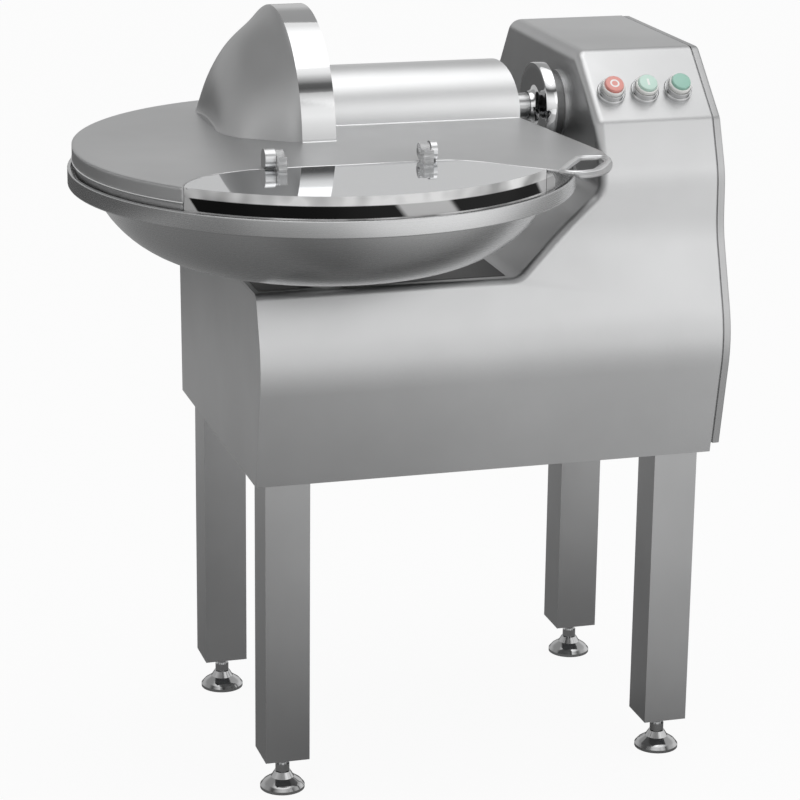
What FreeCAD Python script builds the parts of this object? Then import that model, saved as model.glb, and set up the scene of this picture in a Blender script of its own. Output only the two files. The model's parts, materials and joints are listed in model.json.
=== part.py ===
import FreeCAD, Part
import math
import os
import sys
from types import SimpleNamespace
import Sketcher
from FreeCAD import Placement, Rotation, Vector

# Floor-standing meat bowl cutter, millimetres, +Z up, feet on Z = 0.
# The origin is the middle of the overall box at floor level, +X runs towards the drive head
# and -Y is the operator's side.

# Driving dimensions
SIZES = {
    # legs and levelling feet
    "leg_side": 60.0,
    "leg_wall": 3.0,
    "leg_length": 397.0,
    "leg_spacing_x": 538.0,
    "leg_spacing_y": 366.0,
    "leg_inset_left": 18.0,
    "leg_inset_rear": 18.0,
    "foot_height": 49.0,
    "foot_radius": 30.0,
    "foot_pad_height": 24.0,
    "stud_radius": 6.0,
    "stud_collar_radius": 9.5,
    "stud_collar_height": 10.0,
    "plug_depth": 30.0,
    # casing
    "sheet": 3.0,
    "casing_width": 624.0,
    "bowl_to_casing_right": 527.0,
    "bowl_to_rear": 428.0,
    "base_height": 256.0,
    "head_width": 161.0,
    "head_height": 525.0,
    "front_bottom_depth": 469.0,
    "belly_depth": 500.0,
    "belly_height": 166.0,
    "waist_depth": 455.0,
    "waist_height": 302.0,
    "throat_depth": 452.0,
    "throat_height": 376.0,
    "console_fold_depth": 425.0,
    "console_fold_height": 446.0,
    "head_top_front_depth": 338.0,
    "head_top_rear_depth": 75.0,
    "head_rear_fold_height": 419.0,
    "rear_bottom_inset": 18.0,
    "belly_bend": 160.0,
    "waist_bend": 150.0,
    "throat_bend": 100.0,
    "edge_bend": 16.0,
    "base_edge_bend": 12.0,
    "gusset_run": 115.0,
    "gusset_rise": 104.0,
    "gusset_bend": 25.0,
    "cover_gap": 0.3,
    "side_cover_proud": 13.0,
    "side_cover_joggle": 3.0,
    "side_cover_margin": 1.0,
    "side_cover_lift": 12.0,
    # bowl
    "rim_radius": 320.0,
    "rim_height": 21.0,
    "rim_wall": 4.0,
    "rim_above_base": 155.0,
    "bowl_wall": 4.5,
    "knife_gap": 6.0,
    "hub_top_drop": 43.0,
    "spindle_radius": 16.0,
    "spindle_bottom": 498.0,
    "stud_bore_radius": 8.0,
    "spindle_housing_radius": 29.7,
    "fit": 0.05,
    "running_gap": 0.3,
    # knives and knife shaft
    "knife_axis_offset": 154.0,
    "knife_axis_above_base": 186.0,
    "knife_radius": 136.0,
    "blade_thickness": 5.0,
    "blade_spacer": 3.0,
    "shaft_radius": 17.0,
    "knife_seat_radius": 15.0,
    "shaft_collar_radius": 30.0,
    "flange_radius": 57.0,
    "flange_thickness": 15.0,
    "collar_radius": 46.0,
    "flange_standoff": 19.0,
    "collar_thickness": 4.0,
    "bearing_tube_radius": 42.0,
    "bearing_outer_radius": 36.0,
    "bearing_width": 17.0,
    # lid, guard and window
    "lid_radius": 314.0,
    "lid_height_above_rim": 28.0,
    "lid_sheet": 3.0,
    "lid_skirt_drop": 33.0,
    "lid_lip_height": 14.0,
    "lid_lip_inset": 3.0,
    "lid_cut_distance": 301.4,
    "lid_cut_angle": 8.0,
    "chord_distance": 141.0,
    "guard_width": 44.0,
    "guard_radius": 158.0,
    "guard_centre_drop": 13.0,
    "guard_offset": 5.0,
    "guard_sheet": 3.0,
    "guard_taper_length": 88.5,
    "tunnel_radius": 65.0,
    "tunnel_drop": 1.0,
    "tunnel_cut_distance": 304.0,
    "tunnel_cut_angle": 12.0,
    "hinge_setback": 339.0,
    "hinge_drop": 7.0,
    "hinge_pin_radius": 8.0,
    "hinge_eye_radius": 14.0,
    "hinge_arm_width": 18.0,
    "hinge_post_width": 60.0,
    "window_gap": 2.0,
    "window_sheet": 6.0,
    "window_pin_radius": 4.0,
    "window_boss_radius": 12.0,
    "left_lug_offset": -96.5,
    "left_lug_width": 10.5,
    "left_boss_length": 13.0,
    "right_lug_offset": 85.0,
    "right_lug_width": 12.5,
    "right_boss_length": 8.0,
    "left_tip_angle": 224.4,
    # buttons on the sloping console
    "button_pitch": 46.5,
    "button_shift": -2.5,
    "button_rise": 45.0,
    "bezel_radius": 19.0,
    "bezel_height": 12.5,
    "bezel_foot_height": 5.0,
    "bezel_neck_radius": 17.0,
    "cap_radius": 15.0,
    "cap_face_radius": 12.5,
    "cap_low": 8.0,
    "cap_shoulder": 17.0,
    "cap_high": 20.0,
    "button_stem_radius": 8.0,
    "panel_hole_radius": 11.2,
    # drives inside the casing
    "frame_bar": 30.0,
    "motor_radius": 95.0,
    "motor_length": 270.0,
    "motor_axis_height": 100.0,
    "motor_plate": 6.0,
    "motor_shaft_radius": 14.0,
    "motor_pulley_radius": 70.0,
    "knife_pulley_radius": 40.0,
    "pulley_width": 34.0,
    "belt_width": 10.0,
    "belt_thickness": 8.0,
    "wheel_radius": 36.0,
    "worm_radius": 11.7,
    "worm_distance": 48.0,
    "gear_case_height": 90.0,
    "bowl_motor_radius": 45.0,
    "bowl_motor_length": 100.0,
}
s = SimpleNamespace(**SIZES)

doc = FreeCAD.newDocument("bowl_cutter")
sheet = doc.addObject("Spreadsheet::Sheet", "Sizes")
for row, (alias, value) in enumerate(SIZES.items(), start=1):
    sheet.set(f"A{row}", alias)
    sheet.set(f"B{row}", str(value))
    sheet.setAlias(f"B{row}", alias)
doc.recompute()

# Places worked out from the driving dimensions
total_x = s.rim_radius + s.bowl_to_casing_right + s.side_cover_proud
total_y = s.rim_radius + s.bowl_to_rear
bowl_x = s.rim_radius - total_x / 2
bowl_y = s.rim_radius - total_y / 2
casing_right = bowl_x + s.bowl_to_casing_right
casing_left = casing_right - s.casing_width
head_left = casing_right - s.head_width
rear = total_y / 2
casing_bottom = s.foot_height + s.leg_length
base_top = casing_bottom + s.base_height
head_top = casing_bottom + s.head_height
knife_y = bowl_y + s.knife_axis_offset
knife_z = base_top + s.knife_axis_above_base
rim_top = base_top + s.rim_above_base
lid_top = rim_top + s.lid_height_above_rim
lid_under = lid_top - s.lid_sheet
guard_x = bowl_x - s.guard_offset
guard_z = knife_z - s.guard_centre_drop
hinge_y = bowl_y + s.hinge_setback
hinge_z = lid_top - s.hinge_drop

nodes = []


def keep(obj, label):
    """Give a finished sub-part its name and put it on the list of sub-parts."""
    obj.Label = label
    nodes.append(obj)
    return obj


def bind(obj, prop, value):
    """Set a property to a number, or bind it to cells of the sheet by a formula."""
    if isinstance(value, str):
        obj.setExpression(prop, value)
    else:
        setattr(obj, prop, value)


def turned_to_x(x, y, z):
    """Placement that lays a piece modelled along Z on a line parallel to X."""
    return Placement(Vector(x, y, z), Rotation(Vector(0, 1, 0), 90))


def at(x, y, z):
    return Placement(Vector(x, y, z), Rotation())


def shaped(label, shape, place=None):
    """A sub-part whose shape comes straight from geometry functions."""
    obj = doc.addObject("Part::Feature", label)
    obj.Shape = shape
    if place is not None:
        obj.Placement = place
    return keep(obj, label)


def block(name, length, width, height, place):
    obj = doc.addObject("Part::Box", name)
    bind(obj, "Length", length)
    bind(obj, "Width", width)
    bind(obj, "Height", height)
    obj.Placement = place
    return obj


def rod(name, radius, height, place):
    obj = doc.addObject("Part::Cylinder", name)
    bind(obj, "Radius", radius)
    bind(obj, "Height", height)
    obj.Placement = place
    return obj


def cut(label, base, tool):
    obj = doc.addObject("Part::Cut", label)
    obj.Base = base
    obj.Tool = tool
    return obj


def fuse(label, pieces):
    obj = doc.addObject("Part::MultiFuse", label)
    obj.Shapes = pieces
    return obj


def body_plane(body, role):
    return next(item for item in body.Origin.OriginFeatures if item.Role == role)


def outline_sketch(body, name, role, corners):
    """A closed outline of straight lines; each corner is a pair of formulas or numbers."""
    sketch = body.newObject("Sketcher::SketchObject", name)
    sketch.AttachmentSupport = [(body_plane(body, role), "")]
    sketch.MapMode = "FlatFace"
    count = len(corners)
    ring = [Vector(50 + 40 * math.cos(2 * math.pi * i / count),
                   40 * math.sin(2 * math.pi * i / count), 0) for i in range(count)]
    for i in range(count):
        sketch.addGeometry(Part.LineSegment(ring[i], ring[(i + 1) % count]), False)
    for i in range(count):
        sketch.addConstraint(Sketcher.Constraint("Coincident", i, 2, (i + 1) % count, 1))
    for i, corner in enumerate(corners):
        for direction, value in zip(("DistanceX", "DistanceY"), corner):
            start = ring[i].x if direction == "DistanceX" else ring[i].y
            number = sketch.addConstraint(Sketcher.Constraint(direction, -1, 1, i, 1, start))
            if isinstance(value, str):
                sketch.setExpression(f"Constraints[{number}]", value)
            else:
                sketch.setExpression(f"Constraints[{number}]", str(value))
    return sketch


def turned(label, corners, place):
    """A body of revolution about its own Z; corners are (radius, height) pairs."""
    body = doc.addObject("PartDesign::Body", label)
    sketch = outline_sketch(body, label + "_section", "XZ_Plane", corners)
    turn = body.newObject("PartDesign::Revolution", label + "_turn")
    turn.Profile = sketch
    turn.ReferenceAxis = (sketch, ["V_Axis"])
    turn.Angle = 360
    body.Placement = place
    return keep(body, label)


def pair_up(label, corners, places):
    """Identical turned parts kept together in one sub-part as separate solids."""
    pieces = []
    for number, place in enumerate(places, start=1):
        piece = turned(f"{label}_{number}", corners, place)
        nodes.remove(piece)
        pieces.append(piece)
    group = doc.addObject("Part::Compound", label)
    group.Links = pieces
    return keep(group, label)


def washer(inner, outer, low, high):
    return [(inner, low), (outer, low), (outer, high), (inner, high)]


def inset_polygon(points, amount):
    """Move every side of a clockwise polygon inwards by one amount."""
    moved = []
    count = len(points)
    for i in range(count):
        before, here, after = points[i - 1], points[i], points[(i + 1) % count]
        normals = []
        for a, b in ((before, here), (here, after)):
            run, rise = b[0] - a[0], b[1] - a[1]
            length = math.hypot(run, rise)
            normals.append((rise / length, -run / length))
        (n1x, n1y), (n2x, n2y) = normals
        det = n1x * n2y - n1y * n2x
        moved.append((here[0] + amount * (n2y - n1y) / det, here[1] + amount * (n1x - n2x) / det))
    return moved


def rounded_wire(points, radii, lift):
    """Closed wire through the corners, each rounded by its radius; lift places a 2D point."""
    edges = []
    count = len(points)
    starts, ends, middles = [], [], []
    for i in range(count):
        here = Vector(points[i][0], points[i][1], 0)
        to_before = (Vector(points[i - 1][0], points[i - 1][1], 0) - here).normalize()
        to_after = (Vector(*points[(i + 1) % count], 0) - here).normalize()
        half = to_before.getAngle(to_after) / 2
        back = radii[i] / math.tan(half) if radii[i] > 0 else 0
        middle = here
        if radii[i] > 0:
            inward = (to_before + to_after).normalize()
            middle = here + inward * (radii[i] / math.sin(half) - radii[i])
        starts.append(here + to_before * back)
        ends.append(here + to_after * back)
        middles.append(middle)
    for i in range(count):
        if radii[i] > 0:
            arc = Part.Arc(lift(starts[i]), lift(middles[i]), lift(ends[i]))
            edges.append(arc.toShape())
        edges.append(Part.LineSegment(lift(ends[i]), lift(starts[(i + 1) % count])).toShape())
    return Part.Wire(edges)


# Casing outlines

def lowered(corner, above, depth):
    """Slide a bottom corner down along its own side of the outline."""
    share = (corner[1] - casing_bottom + depth) / (above[1] - corner[1])
    return (corner[0] - share * (above[0] - corner[0]), casing_bottom - depth)


def side_outline(inset, open_rear):
    """Side view of casing and head as (Y, Z) corners with bend radii, clockwise from the front."""
    corners = [
        (rear - s.front_bottom_depth, casing_bottom),
        (rear - s.belly_depth, casing_bottom + s.belly_height),
        (rear - s.waist_depth, casing_bottom + s.waist_height),
        (rear - s.throat_depth, casing_bottom + s.throat_height),
        (rear - s.console_fold_depth, casing_bottom + s.console_fold_height),
        (rear - s.head_top_front_depth, head_top),
        (rear - s.head_top_rear_depth, head_top),
        (rear, casing_bottom + s.head_rear_fold_height),
        (rear - s.rear_bottom_inset, casing_bottom),
    ]
    radii = [0, s.belly_bend - inset, s.waist_bend + inset, s.throat_bend - inset,
             s.edge_bend - inset, s.edge_bend - inset, s.edge_bend - inset, 0, 0]
    corners = inset_polygon(corners, inset) if inset else corners
    if open_rear:
        reach = 60
        fold = corners[7]
        corners[0] = lowered(corners[0], corners[1], reach)
        corners[8] = (rear + reach, casing_bottom - reach)
        corners.insert(8, (rear + reach, fold[1]))
        radii.append(0)
    return corners, radii


def open_bottom_prism(inset):
    """Solid within the side view inset by one amount, reaching a little below the casing."""
    corners, radii = side_outline(inset, False)
    corners[0] = lowered(corners[0], corners[1], 1)
    corners[8] = lowered(corners[8], corners[7], 1)
    return prism_along_x(corners, radii, casing_left - 1, casing_right + 1)


def front_outline(inset, open_ends):
    """Front view of casing and head as (X, Z) corners with bend radii, clockwise."""
    corners = [
        (casing_left, casing_bottom),
        (casing_left, base_top),
        (head_left - s.gusset_run, base_top),
        (head_left, base_top + s.gusset_rise),
        (head_left, head_top),
        (casing_right, head_top),
        (casing_right, casing_bottom),
    ]
    radii = [0, 0, s.gusset_bend + inset, s.gusset_bend + inset, s.edge_bend - inset, 0, 0]
    corners = inset_polygon(corners, inset) if inset else corners
    if open_ends:
        reach = 60
        corners[0] = (casing_left - reach, casing_bottom - reach)
        corners[1] = (casing_left - reach, corners[1][1])
        corners[5] = (casing_right + reach, corners[5][1])
        corners[6] = (casing_right + reach, casing_bottom - reach)
    return corners, radii


def prism_along_x(corners, radii, low, high):
    wire = rounded_wire(corners, radii, lambda p: Vector(low, p.x, p.y))
    return Part.Face(wire).extrude(Vector(high - low, 0, 0))


def prism_along_y(corners, radii, low, high):
    wire = rounded_wire(corners, radii, lambda p: Vector(p.x, low, p.y))
    return Part.Face(wire).extrude(Vector(0, high - low, 0))


def soften_front_edges(shape, radius, inset):
    """Round the long bends between the front and the top of the base, the gusset and the head."""
    chosen = []
    for edge in shape.Edges:
        middle = edge.valueAt((edge.FirstParameter + edge.LastParameter) / 2)
        front = middle.y < rear - s.head_top_front_depth - s.edge_bend
        above = middle.z > base_top - inset - 1
        beside = middle.x < head_left + inset + 1
        if front and above and beside:
            chosen.append(edge)
    return shape.makeFillet(radius, chosen)


def casing_block(inset, opened):
    """The casing's outside, or with an inset the space inside it."""
    side = prism_along_x(*side_outline(inset, opened), casing_left - 80, casing_right + 80)
    front = prism_along_y(*front_outline(inset, opened), -rear - 100, rear + 100)
    block_shape = side.common(front).Solids[0]
    return soften_front_edges(block_shape, s.base_edge_bend - inset, inset)


casing_outside = casing_block(0, False)
casing_inside = casing_block(s.sheet, True)
cover_space = casing_block(s.sheet + s.cover_gap, True)

# Console plane, on which the buttons sit
fold_y = rear - s.console_fold_depth
fold_z = casing_bottom + s.console_fold_height
slope_run = s.console_fold_depth - s.head_top_front_depth
slope_rise = s.head_height - s.console_fold_height
slope_length = math.hypot(slope_run, slope_rise)
along = Vector(0, slope_run / slope_length, slope_rise / slope_length)
outward = Vector(0, -along.z, along.y)
console_turn = Rotation(Vector(0, 0, 1), outward)
button_centres = [Vector(head_left + s.head_width / 2 + s.button_shift + step * s.button_pitch, fold_y, fold_z)
                  + along * s.button_rise for step in (-1, 0, 1)]

holes = [Part.makeCylinder(s.bearing_tube_radius + s.running_gap, 60, Vector(head_left - 20, knife_y, knife_z),
                           Vector(1, 0, 0)),
         Part.makeCylinder(s.spindle_housing_radius + s.running_gap, 60, Vector(bowl_x, bowl_y, base_top - 40))]
for centre in button_centres:
    holes.append(Part.makeCylinder(s.panel_hole_radius, 30, centre - outward * 20, outward))
shell = casing_outside.cut(casing_inside)
for hole in holes:
    shell = shell.cut(hole)
shaped("casing_shell", shell)

slab = Part.makeBox(s.sheet, 2 * total_y, s.base_height, Vector(casing_left, -total_y, casing_bottom))
full_side = prism_along_x(*side_outline(0, False), casing_left, casing_right)
shaped("left_end_panel", cover_space.common(slab).common(full_side))

pan_left = casing_left + s.sheet + s.cover_gap
pan_slab = Part.makeBox(casing_right - pan_left, 2 * total_y, s.sheet, Vector(pan_left, -total_y, casing_bottom))
inside_rear = open_bottom_prism(s.sheet + s.cover_gap)
shaped("bottom_pan", cover_space.common(pan_slab).common(inside_rear))

rear_band = prism_along_x(*side_outline(0, False), pan_left, casing_right)
rear_band = rear_band.cut(open_bottom_prism(s.sheet))
rear_half = Part.makeBox(total_x, rear, s.head_height, Vector(casing_left, rear - 60, casing_bottom))
rear_cover_shape = cover_space.common(rear_band).common(rear_half)
shaped("rear_cover", max(rear_cover_shape.Solids, key=lambda solid: solid.Volume))

# Side cover on the drive end: a pan that stands proud of the casing on a joggled edge
joggle_right = casing_right + s.side_cover_joggle
cover_right = casing_right + s.side_cover_proud
lip_inset = s.sheet + s.cover_gap
joggle = prism_along_x(*side_outline(lip_inset, False), casing_right - 2 * s.sheet, joggle_right)
cover_plate = prism_along_x(*side_outline(s.side_cover_margin, False), joggle_right, cover_right)
foot_cut = Part.makeBox(100, 2 * total_y, s.side_cover_lift + 20,
                        Vector(casing_right - 20, -total_y, casing_bottom - 20))
cover_rim = [edge for edge in cover_plate.Edges
             if abs(edge.BoundBox.XMin - cover_right) < 0.01 and abs(edge.BoundBox.XMax - cover_right) < 0.01]
cover_plate = cover_plate.makeFillet(s.sheet, cover_rim)
cover = cover_plate.fuse(joggle).cut(foot_cut)
cover_hollow = prism_along_x(*side_outline(lip_inset + s.sheet, False),
                             casing_right - 2 * s.sheet, cover_right - s.sheet)
cover_hollow = cover_hollow.cut(Part.makeBox(100, 2 * total_y, s.side_cover_lift + 20 + s.sheet,
                                             Vector(casing_right - 20, -total_y, casing_bottom - 20)))
shaped("right_side_cover", cover.cut(cover_hollow))

# Legs, their threaded end plugs and the levelling feet
leg_left = casing_left + s.leg_inset_left
leg_back = rear - s.leg_inset_rear
leg_corner = {
    "front_left": (leg_left, leg_back - s.leg_side - s.leg_spacing_y),
    "front_right": (leg_left + s.leg_spacing_x, leg_back - s.leg_side - s.leg_spacing_y),
    "rear_left": (leg_left, leg_back - s.leg_side),
    "rear_right": (leg_left + s.leg_spacing_x, leg_back - s.leg_side),
}
inner_side = "Sizes.leg_side - 2 * Sizes.leg_wall"
plugs = []
for corner, (x, y) in leg_corner.items():
    name = "leg_" + corner
    outer = block(name + "_outer", "Sizes.leg_side", "Sizes.leg_side", "Sizes.leg_length", at(x, y, s.foot_height))
    inner = block(name + "_inner", inner_side, inner_side, "Sizes.leg_length",
                  at(x + s.leg_wall, y + s.leg_wall, s.foot_height))
    keep(cut(name, outer, inner), name)
    middle_x, middle_y = x + s.leg_side / 2, y + s.leg_side / 2
    plug = block(name + "_plug_block", inner_side, inner_side, "Sizes.plug_depth",
                 at(x + s.leg_wall, y + s.leg_wall, s.foot_height))
    bore = rod(name + "_plug_bore", "Sizes.stud_radius + Sizes.fit", "Sizes.plug_depth",
               at(middle_x, middle_y, s.foot_height))
    plugs.append(cut(name + "_plug", plug, bore))
    stud_top = "Sizes.foot_height + Sizes.plug_depth"
    collar_low = "Sizes.foot_pad_height + 1"
    collar_high = "Sizes.foot_pad_height + 1 + Sizes.stud_collar_height"
    turned("foot_" + corner, [
        (0, 0), ("Sizes.foot_radius", 0), ("Sizes.foot_radius", 4),
        ("Sizes.foot_radius * 0.86", 9), ("Sizes.foot_radius * 0.52", 16),
        ("Sizes.foot_radius * 0.36", "Sizes.foot_pad_height"),
        ("Sizes.stud_radius", "Sizes.foot_pad_height"),
        ("Sizes.stud_radius", collar_low), ("Sizes.stud_collar_radius", collar_low),
        ("Sizes.stud_collar_radius", collar_high), ("Sizes.stud_radius", collar_high),
        ("Sizes.stud_radius", stud_top), (0, stud_top)],
        at(middle_x, middle_y, 0))
doc.recompute()
plug_group = doc.addObject("Part::Compound", "leg_end_plugs")
plug_group.Links = plugs
keep(plug_group, "leg_end_plugs")

# Welded frame inside the casing, on the bottom pan
frame_z = casing_bottom + s.sheet
frame_x = leg_left
frame_y = leg_corner["front_left"][1]
ring_length = "Sizes.leg_spacing_x + Sizes.leg_side"
ring_depth = "Sizes.leg_spacing_y + Sizes.leg_side - 2 * Sizes.sheet"
ring_outer = block("frame_outer", ring_length, ring_depth, "Sizes.frame_bar", at(frame_x, frame_y, frame_z))
ring_inner = block("frame_inner", ring_length + " - 2 * Sizes.frame_bar", ring_depth + " - 2 * Sizes.frame_bar",
                   "Sizes.frame_bar", at(frame_x + s.frame_bar, frame_y + s.frame_bar, frame_z))
keep(cut("base_frame", ring_outer, ring_inner), "base_frame")

# Main motor under the head, belts up to the knife shaft
plate_z = frame_z + s.frame_bar
motor_y = knife_y
motor_z = plate_z + s.motor_plate + s.motor_axis_height
pulley_right = casing_right - 14
pulley_left = pulley_right - s.pulley_width
motor_right = pulley_left - 8
motor_left = motor_right - s.motor_length
keep(block("motor_plate", "Sizes.motor_length * 0.8", ring_depth, "Sizes.motor_plate",
           at(motor_left + 0.1 * s.motor_length, frame_y, plate_z)), "motor_plate")
motor = turned("main_motor_barrel", [
    ("Sizes.motor_shaft_radius + Sizes.fit", 0), ("Sizes.motor_radius * 0.7", 0),
    ("Sizes.motor_radius", 18), ("Sizes.motor_radius", "Sizes.motor_length - 18"),
    ("Sizes.motor_radius * 0.7", "Sizes.motor_length"),
    ("Sizes.motor_shaft_radius + Sizes.fit", "Sizes.motor_length")],
    turned_to_x(motor_left, motor_y, motor_z))
nodes.remove(motor)
motor_feet = [block(f"motor_foot_{i}", 60, "Sizes.motor_radius * 1.7", "Sizes.motor_axis_height - Sizes.motor_radius * 0.6",
                    at(x, motor_y - 0.85 * s.motor_radius, plate_z + s.motor_plate))
              for i, x in enumerate((motor_left + 35, motor_right - 95))]
keep(fuse("main_motor", [motor] + motor_feet), "main_motor")
turned("motor_shaft", [
    (0, -25), ("Sizes.motor_shaft_radius - 3", -25), ("Sizes.motor_shaft_radius - 3", -2),
    ("Sizes.motor_shaft_radius", -2), ("Sizes.motor_shaft_radius", "Sizes.motor_length + 8 + Sizes.pulley_width"),
    (0, "Sizes.motor_length + 8 + Sizes.pulley_width")],
    turned_to_x(motor_left, motor_y, motor_z))
turned("motor_fan", [
    ("Sizes.motor_shaft_radius - 3", -22), ("Sizes.motor_radius * 0.3", -22), ("Sizes.motor_radius * 0.3", -16),
    ("Sizes.motor_radius * 0.8", -16), ("Sizes.motor_radius * 0.8", -6), ("Sizes.motor_shaft_radius - 3", -6)],
    turned_to_x(motor_left, motor_y, motor_z))
cowl = turned("motor_cowl_pan", [
    (0, -32), ("Sizes.motor_radius * 0.9", -32), ("Sizes.motor_radius", -24), ("Sizes.motor_radius", 18),
    ("Sizes.motor_radius - 2", 18), ("Sizes.motor_radius - 2", -22), ("Sizes.motor_radius * 0.88", -30), (0, -30)],
    turned_to_x(motor_left, motor_y, motor_z))
nodes.remove(cowl)
keep(cut("motor_cowl", cowl, motor), "motor_cowl")


def pulley_corners(radius_cell, bore):
    """Rim with two belt grooves, drawn along Z from 0 to the pulley's width."""
    rim = f"Sizes.{radius_cell} + 2"
    floor_of_groove = f"Sizes.{radius_cell} - Sizes.belt_thickness"
    groove = "(Sizes.belt_width + 2 * Sizes.running_gap)"
    land = f"(Sizes.pulley_width - 2 * {groove}) / 3"
    corners = [(bore, 0), (rim, 0)]
    for turn in (1, 2):
        low = f"{turn} * {land} + {turn - 1} * {groove}"
        high = f"{turn} * {land} + {turn} * {groove}"
        corners += [(rim, low), (floor_of_groove, low), (floor_of_groove, high), (rim, high)]
    corners += [(rim, "Sizes.pulley_width"), (bore, "Sizes.pulley_width")]
    return corners


turned("motor_pulley", pulley_corners("motor_pulley_radius", "Sizes.motor_shaft_radius"),
       turned_to_x(pulley_left, motor_y, motor_z))
turned("knife_pulley", pulley_corners("knife_pulley_radius", "Sizes.shaft_radius"),
       turned_to_x(pulley_left, knife_y, knife_z))


def belt_loop(inner_low, inner_high, x):
    """One belt round both pulleys, from the two radii of its inner side."""
    def loop_face(extra):
        low, high = inner_low + extra, inner_high + extra
        distance = knife_z - motor_z
        lean = math.asin((low - high) / distance)
        side = Vector(0, math.cos(lean), math.sin(lean))
        other = Vector(0, -math.cos(lean), math.sin(lean))
        bottom, top = Vector(x, motor_y, motor_z), Vector(x, knife_y, knife_z)
        edges = [Part.LineSegment(bottom + side * low, top + side * high).toShape(),
                 Part.Arc(top + side * high, top + Vector(0, 0, high), top + other * high).toShape(),
                 Part.LineSegment(top + other * high, bottom + other * low).toShape(),
                 Part.Arc(bottom + other * low, bottom - Vector(0, 0, low), bottom + side * low).toShape()]
        return Part.Face(Part.Wire(edges))
    ring = loop_face(s.belt_thickness).cut(loop_face(0))
    return ring.extrude(Vector(s.belt_width, 0, 0))


groove = s.belt_width + 2 * s.running_gap
land = (s.pulley_width - 2 * groove) / 3
belt_low = s.motor_pulley_radius - s.belt_thickness + s.running_gap
belt_high = s.knife_pulley_radius - s.belt_thickness + s.running_gap
belts = [belt_loop(belt_low, belt_high, pulley_left + turn * land + (turn - 1) * groove + s.running_gap)
         for turn in (1, 2)]
shaped("drive_belts", Part.makeCompound(belts))

# Knife shaft with its bearings, polished flange and knives
stack = 3 * s.blade_thickness + 2 * s.blade_spacer
stack_right = bowl_x + 1.5 + stack / 2
nut_length = 22
shaft_left = stack_right - stack - nut_length
seat_length = stack_right - shaft_left
shaft_length = pulley_right - shaft_left
turned("knife_shaft", [
    (0, 0), ("Sizes.knife_seat_radius - 3", 0), ("Sizes.knife_seat_radius - 3", nut_length - 2),
    ("Sizes.knife_seat_radius", nut_length - 2), ("Sizes.knife_seat_radius", seat_length),
    ("Sizes.shaft_collar_radius", seat_length), ("Sizes.shaft_collar_radius", seat_length + 6),
    ("Sizes.shaft_radius", seat_length + 6), ("Sizes.shaft_radius", shaft_length), (0, shaft_length)],
    turned_to_x(shaft_left, knife_y, knife_z))
turned("knife_nut", [
    ("Sizes.knife_seat_radius - 3", -2), ("Sizes.knife_seat_radius + 6", -2),
    ("Sizes.knife_seat_radius + 11", 6), ("Sizes.knife_seat_radius + 11", nut_length - 2),
    ("Sizes.knife_seat_radius", nut_length - 2), ("Sizes.knife_seat_radius", nut_length - 2.05),
    ("Sizes.knife_seat_radius - 3", nut_length - 2.05)],
    turned_to_x(shaft_left, knife_y, knife_z))


def polar(radius, degrees):
    return Vector(0, radius * math.cos(math.radians(degrees)), radius * math.sin(math.radians(degrees)))


def blade(x, turn):
    """Sickle blade: a curved cutting edge out to the tip, a curved back and a round hub."""
    root = s.shaft_collar_radius + 4
    tip, heel = polar(s.knife_radius, 70), polar(s.knife_radius - 8, 80)
    edges = [Part.Arc(polar(root, -25), polar(s.knife_radius * 0.72, 18), tip).toShape(),
             Part.LineSegment(tip, heel).toShape(),
             Part.Arc(heel, polar(s.knife_radius * 0.56, 66), polar(root, 105)).toShape(),
             Part.Arc(polar(root, 105), polar(root, 40), polar(root, -25)).toShape()]
    sickle = Part.Face(Part.Wire(edges)).extrude(Vector(s.blade_thickness, 0, 0))
    hub = Part.makeCylinder(root, s.blade_thickness, Vector(), Vector(1, 0, 0))
    bore = Part.makeCylinder(s.knife_seat_radius, s.blade_thickness, Vector(), Vector(1, 0, 0))
    shape = sickle.fuse(hub).cut(bore).removeSplitter()
    shape.rotate(Vector(), Vector(1, 0, 0), turn)
    shape.translate(Vector(x, knife_y, knife_z))
    return shape


blade_pitch = s.blade_thickness + s.blade_spacer
for number in range(3):
    shaped(f"knife_blade_{number + 1}", blade(stack_right - s.blade_thickness - number * blade_pitch, 120 * number))
spacers = []
for number in range(2):
    low = stack_right - (number + 1) * blade_pitch
    ring = Part.makeCylinder(s.shaft_collar_radius - 2, s.blade_spacer, Vector(low, knife_y, knife_z), Vector(1, 0, 0))
    hole = Part.makeCylinder(s.knife_seat_radius, s.blade_spacer, Vector(low, knife_y, knife_z), Vector(1, 0, 0))
    spacers.append(ring.cut(hole))
shaped("knife_spacers", Part.makeCompound(spacers))

tube_left = head_left - s.flange_standoff
flange_left = tube_left - s.flange_thickness
turned("shaft_flange", [
    ("Sizes.shaft_radius + 1", -9), ("Sizes.shaft_radius + 1.6", -9), ("Sizes.shaft_radius + 2.4", -5),
    ("Sizes.shaft_radius + 4.6", -1.5), ("Sizes.shaft_radius + 9", 0.7), ("Sizes.shaft_radius + 16", 1.6),
    ("Sizes.flange_radius - 8", 1.2), ("Sizes.flange_radius - 1", 0), ("Sizes.flange_radius", 1),
    ("Sizes.flange_radius", "Sizes.flange_thickness"), ("Sizes.shaft_radius + 9", "Sizes.flange_thickness"),
    ("Sizes.shaft_radius + 9", 2), ("Sizes.shaft_radius + 1", 2)],
    turned_to_x(flange_left, knife_y, knife_z))
turned("shaft_seal", washer("Sizes.shaft_radius + Sizes.fit", "Sizes.shaft_radius + 9", 2, 12),
       turned_to_x(flange_left, knife_y, knife_z))
turned("housing_collar", washer("Sizes.bearing_tube_radius", "Sizes.collar_radius", 0, "Sizes.collar_thickness"),
       turned_to_x(head_left - s.collar_thickness, knife_y, knife_z))
tube_length = pulley_left - 10 - tube_left
flange_low = s.flange_standoff + s.sheet
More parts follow.
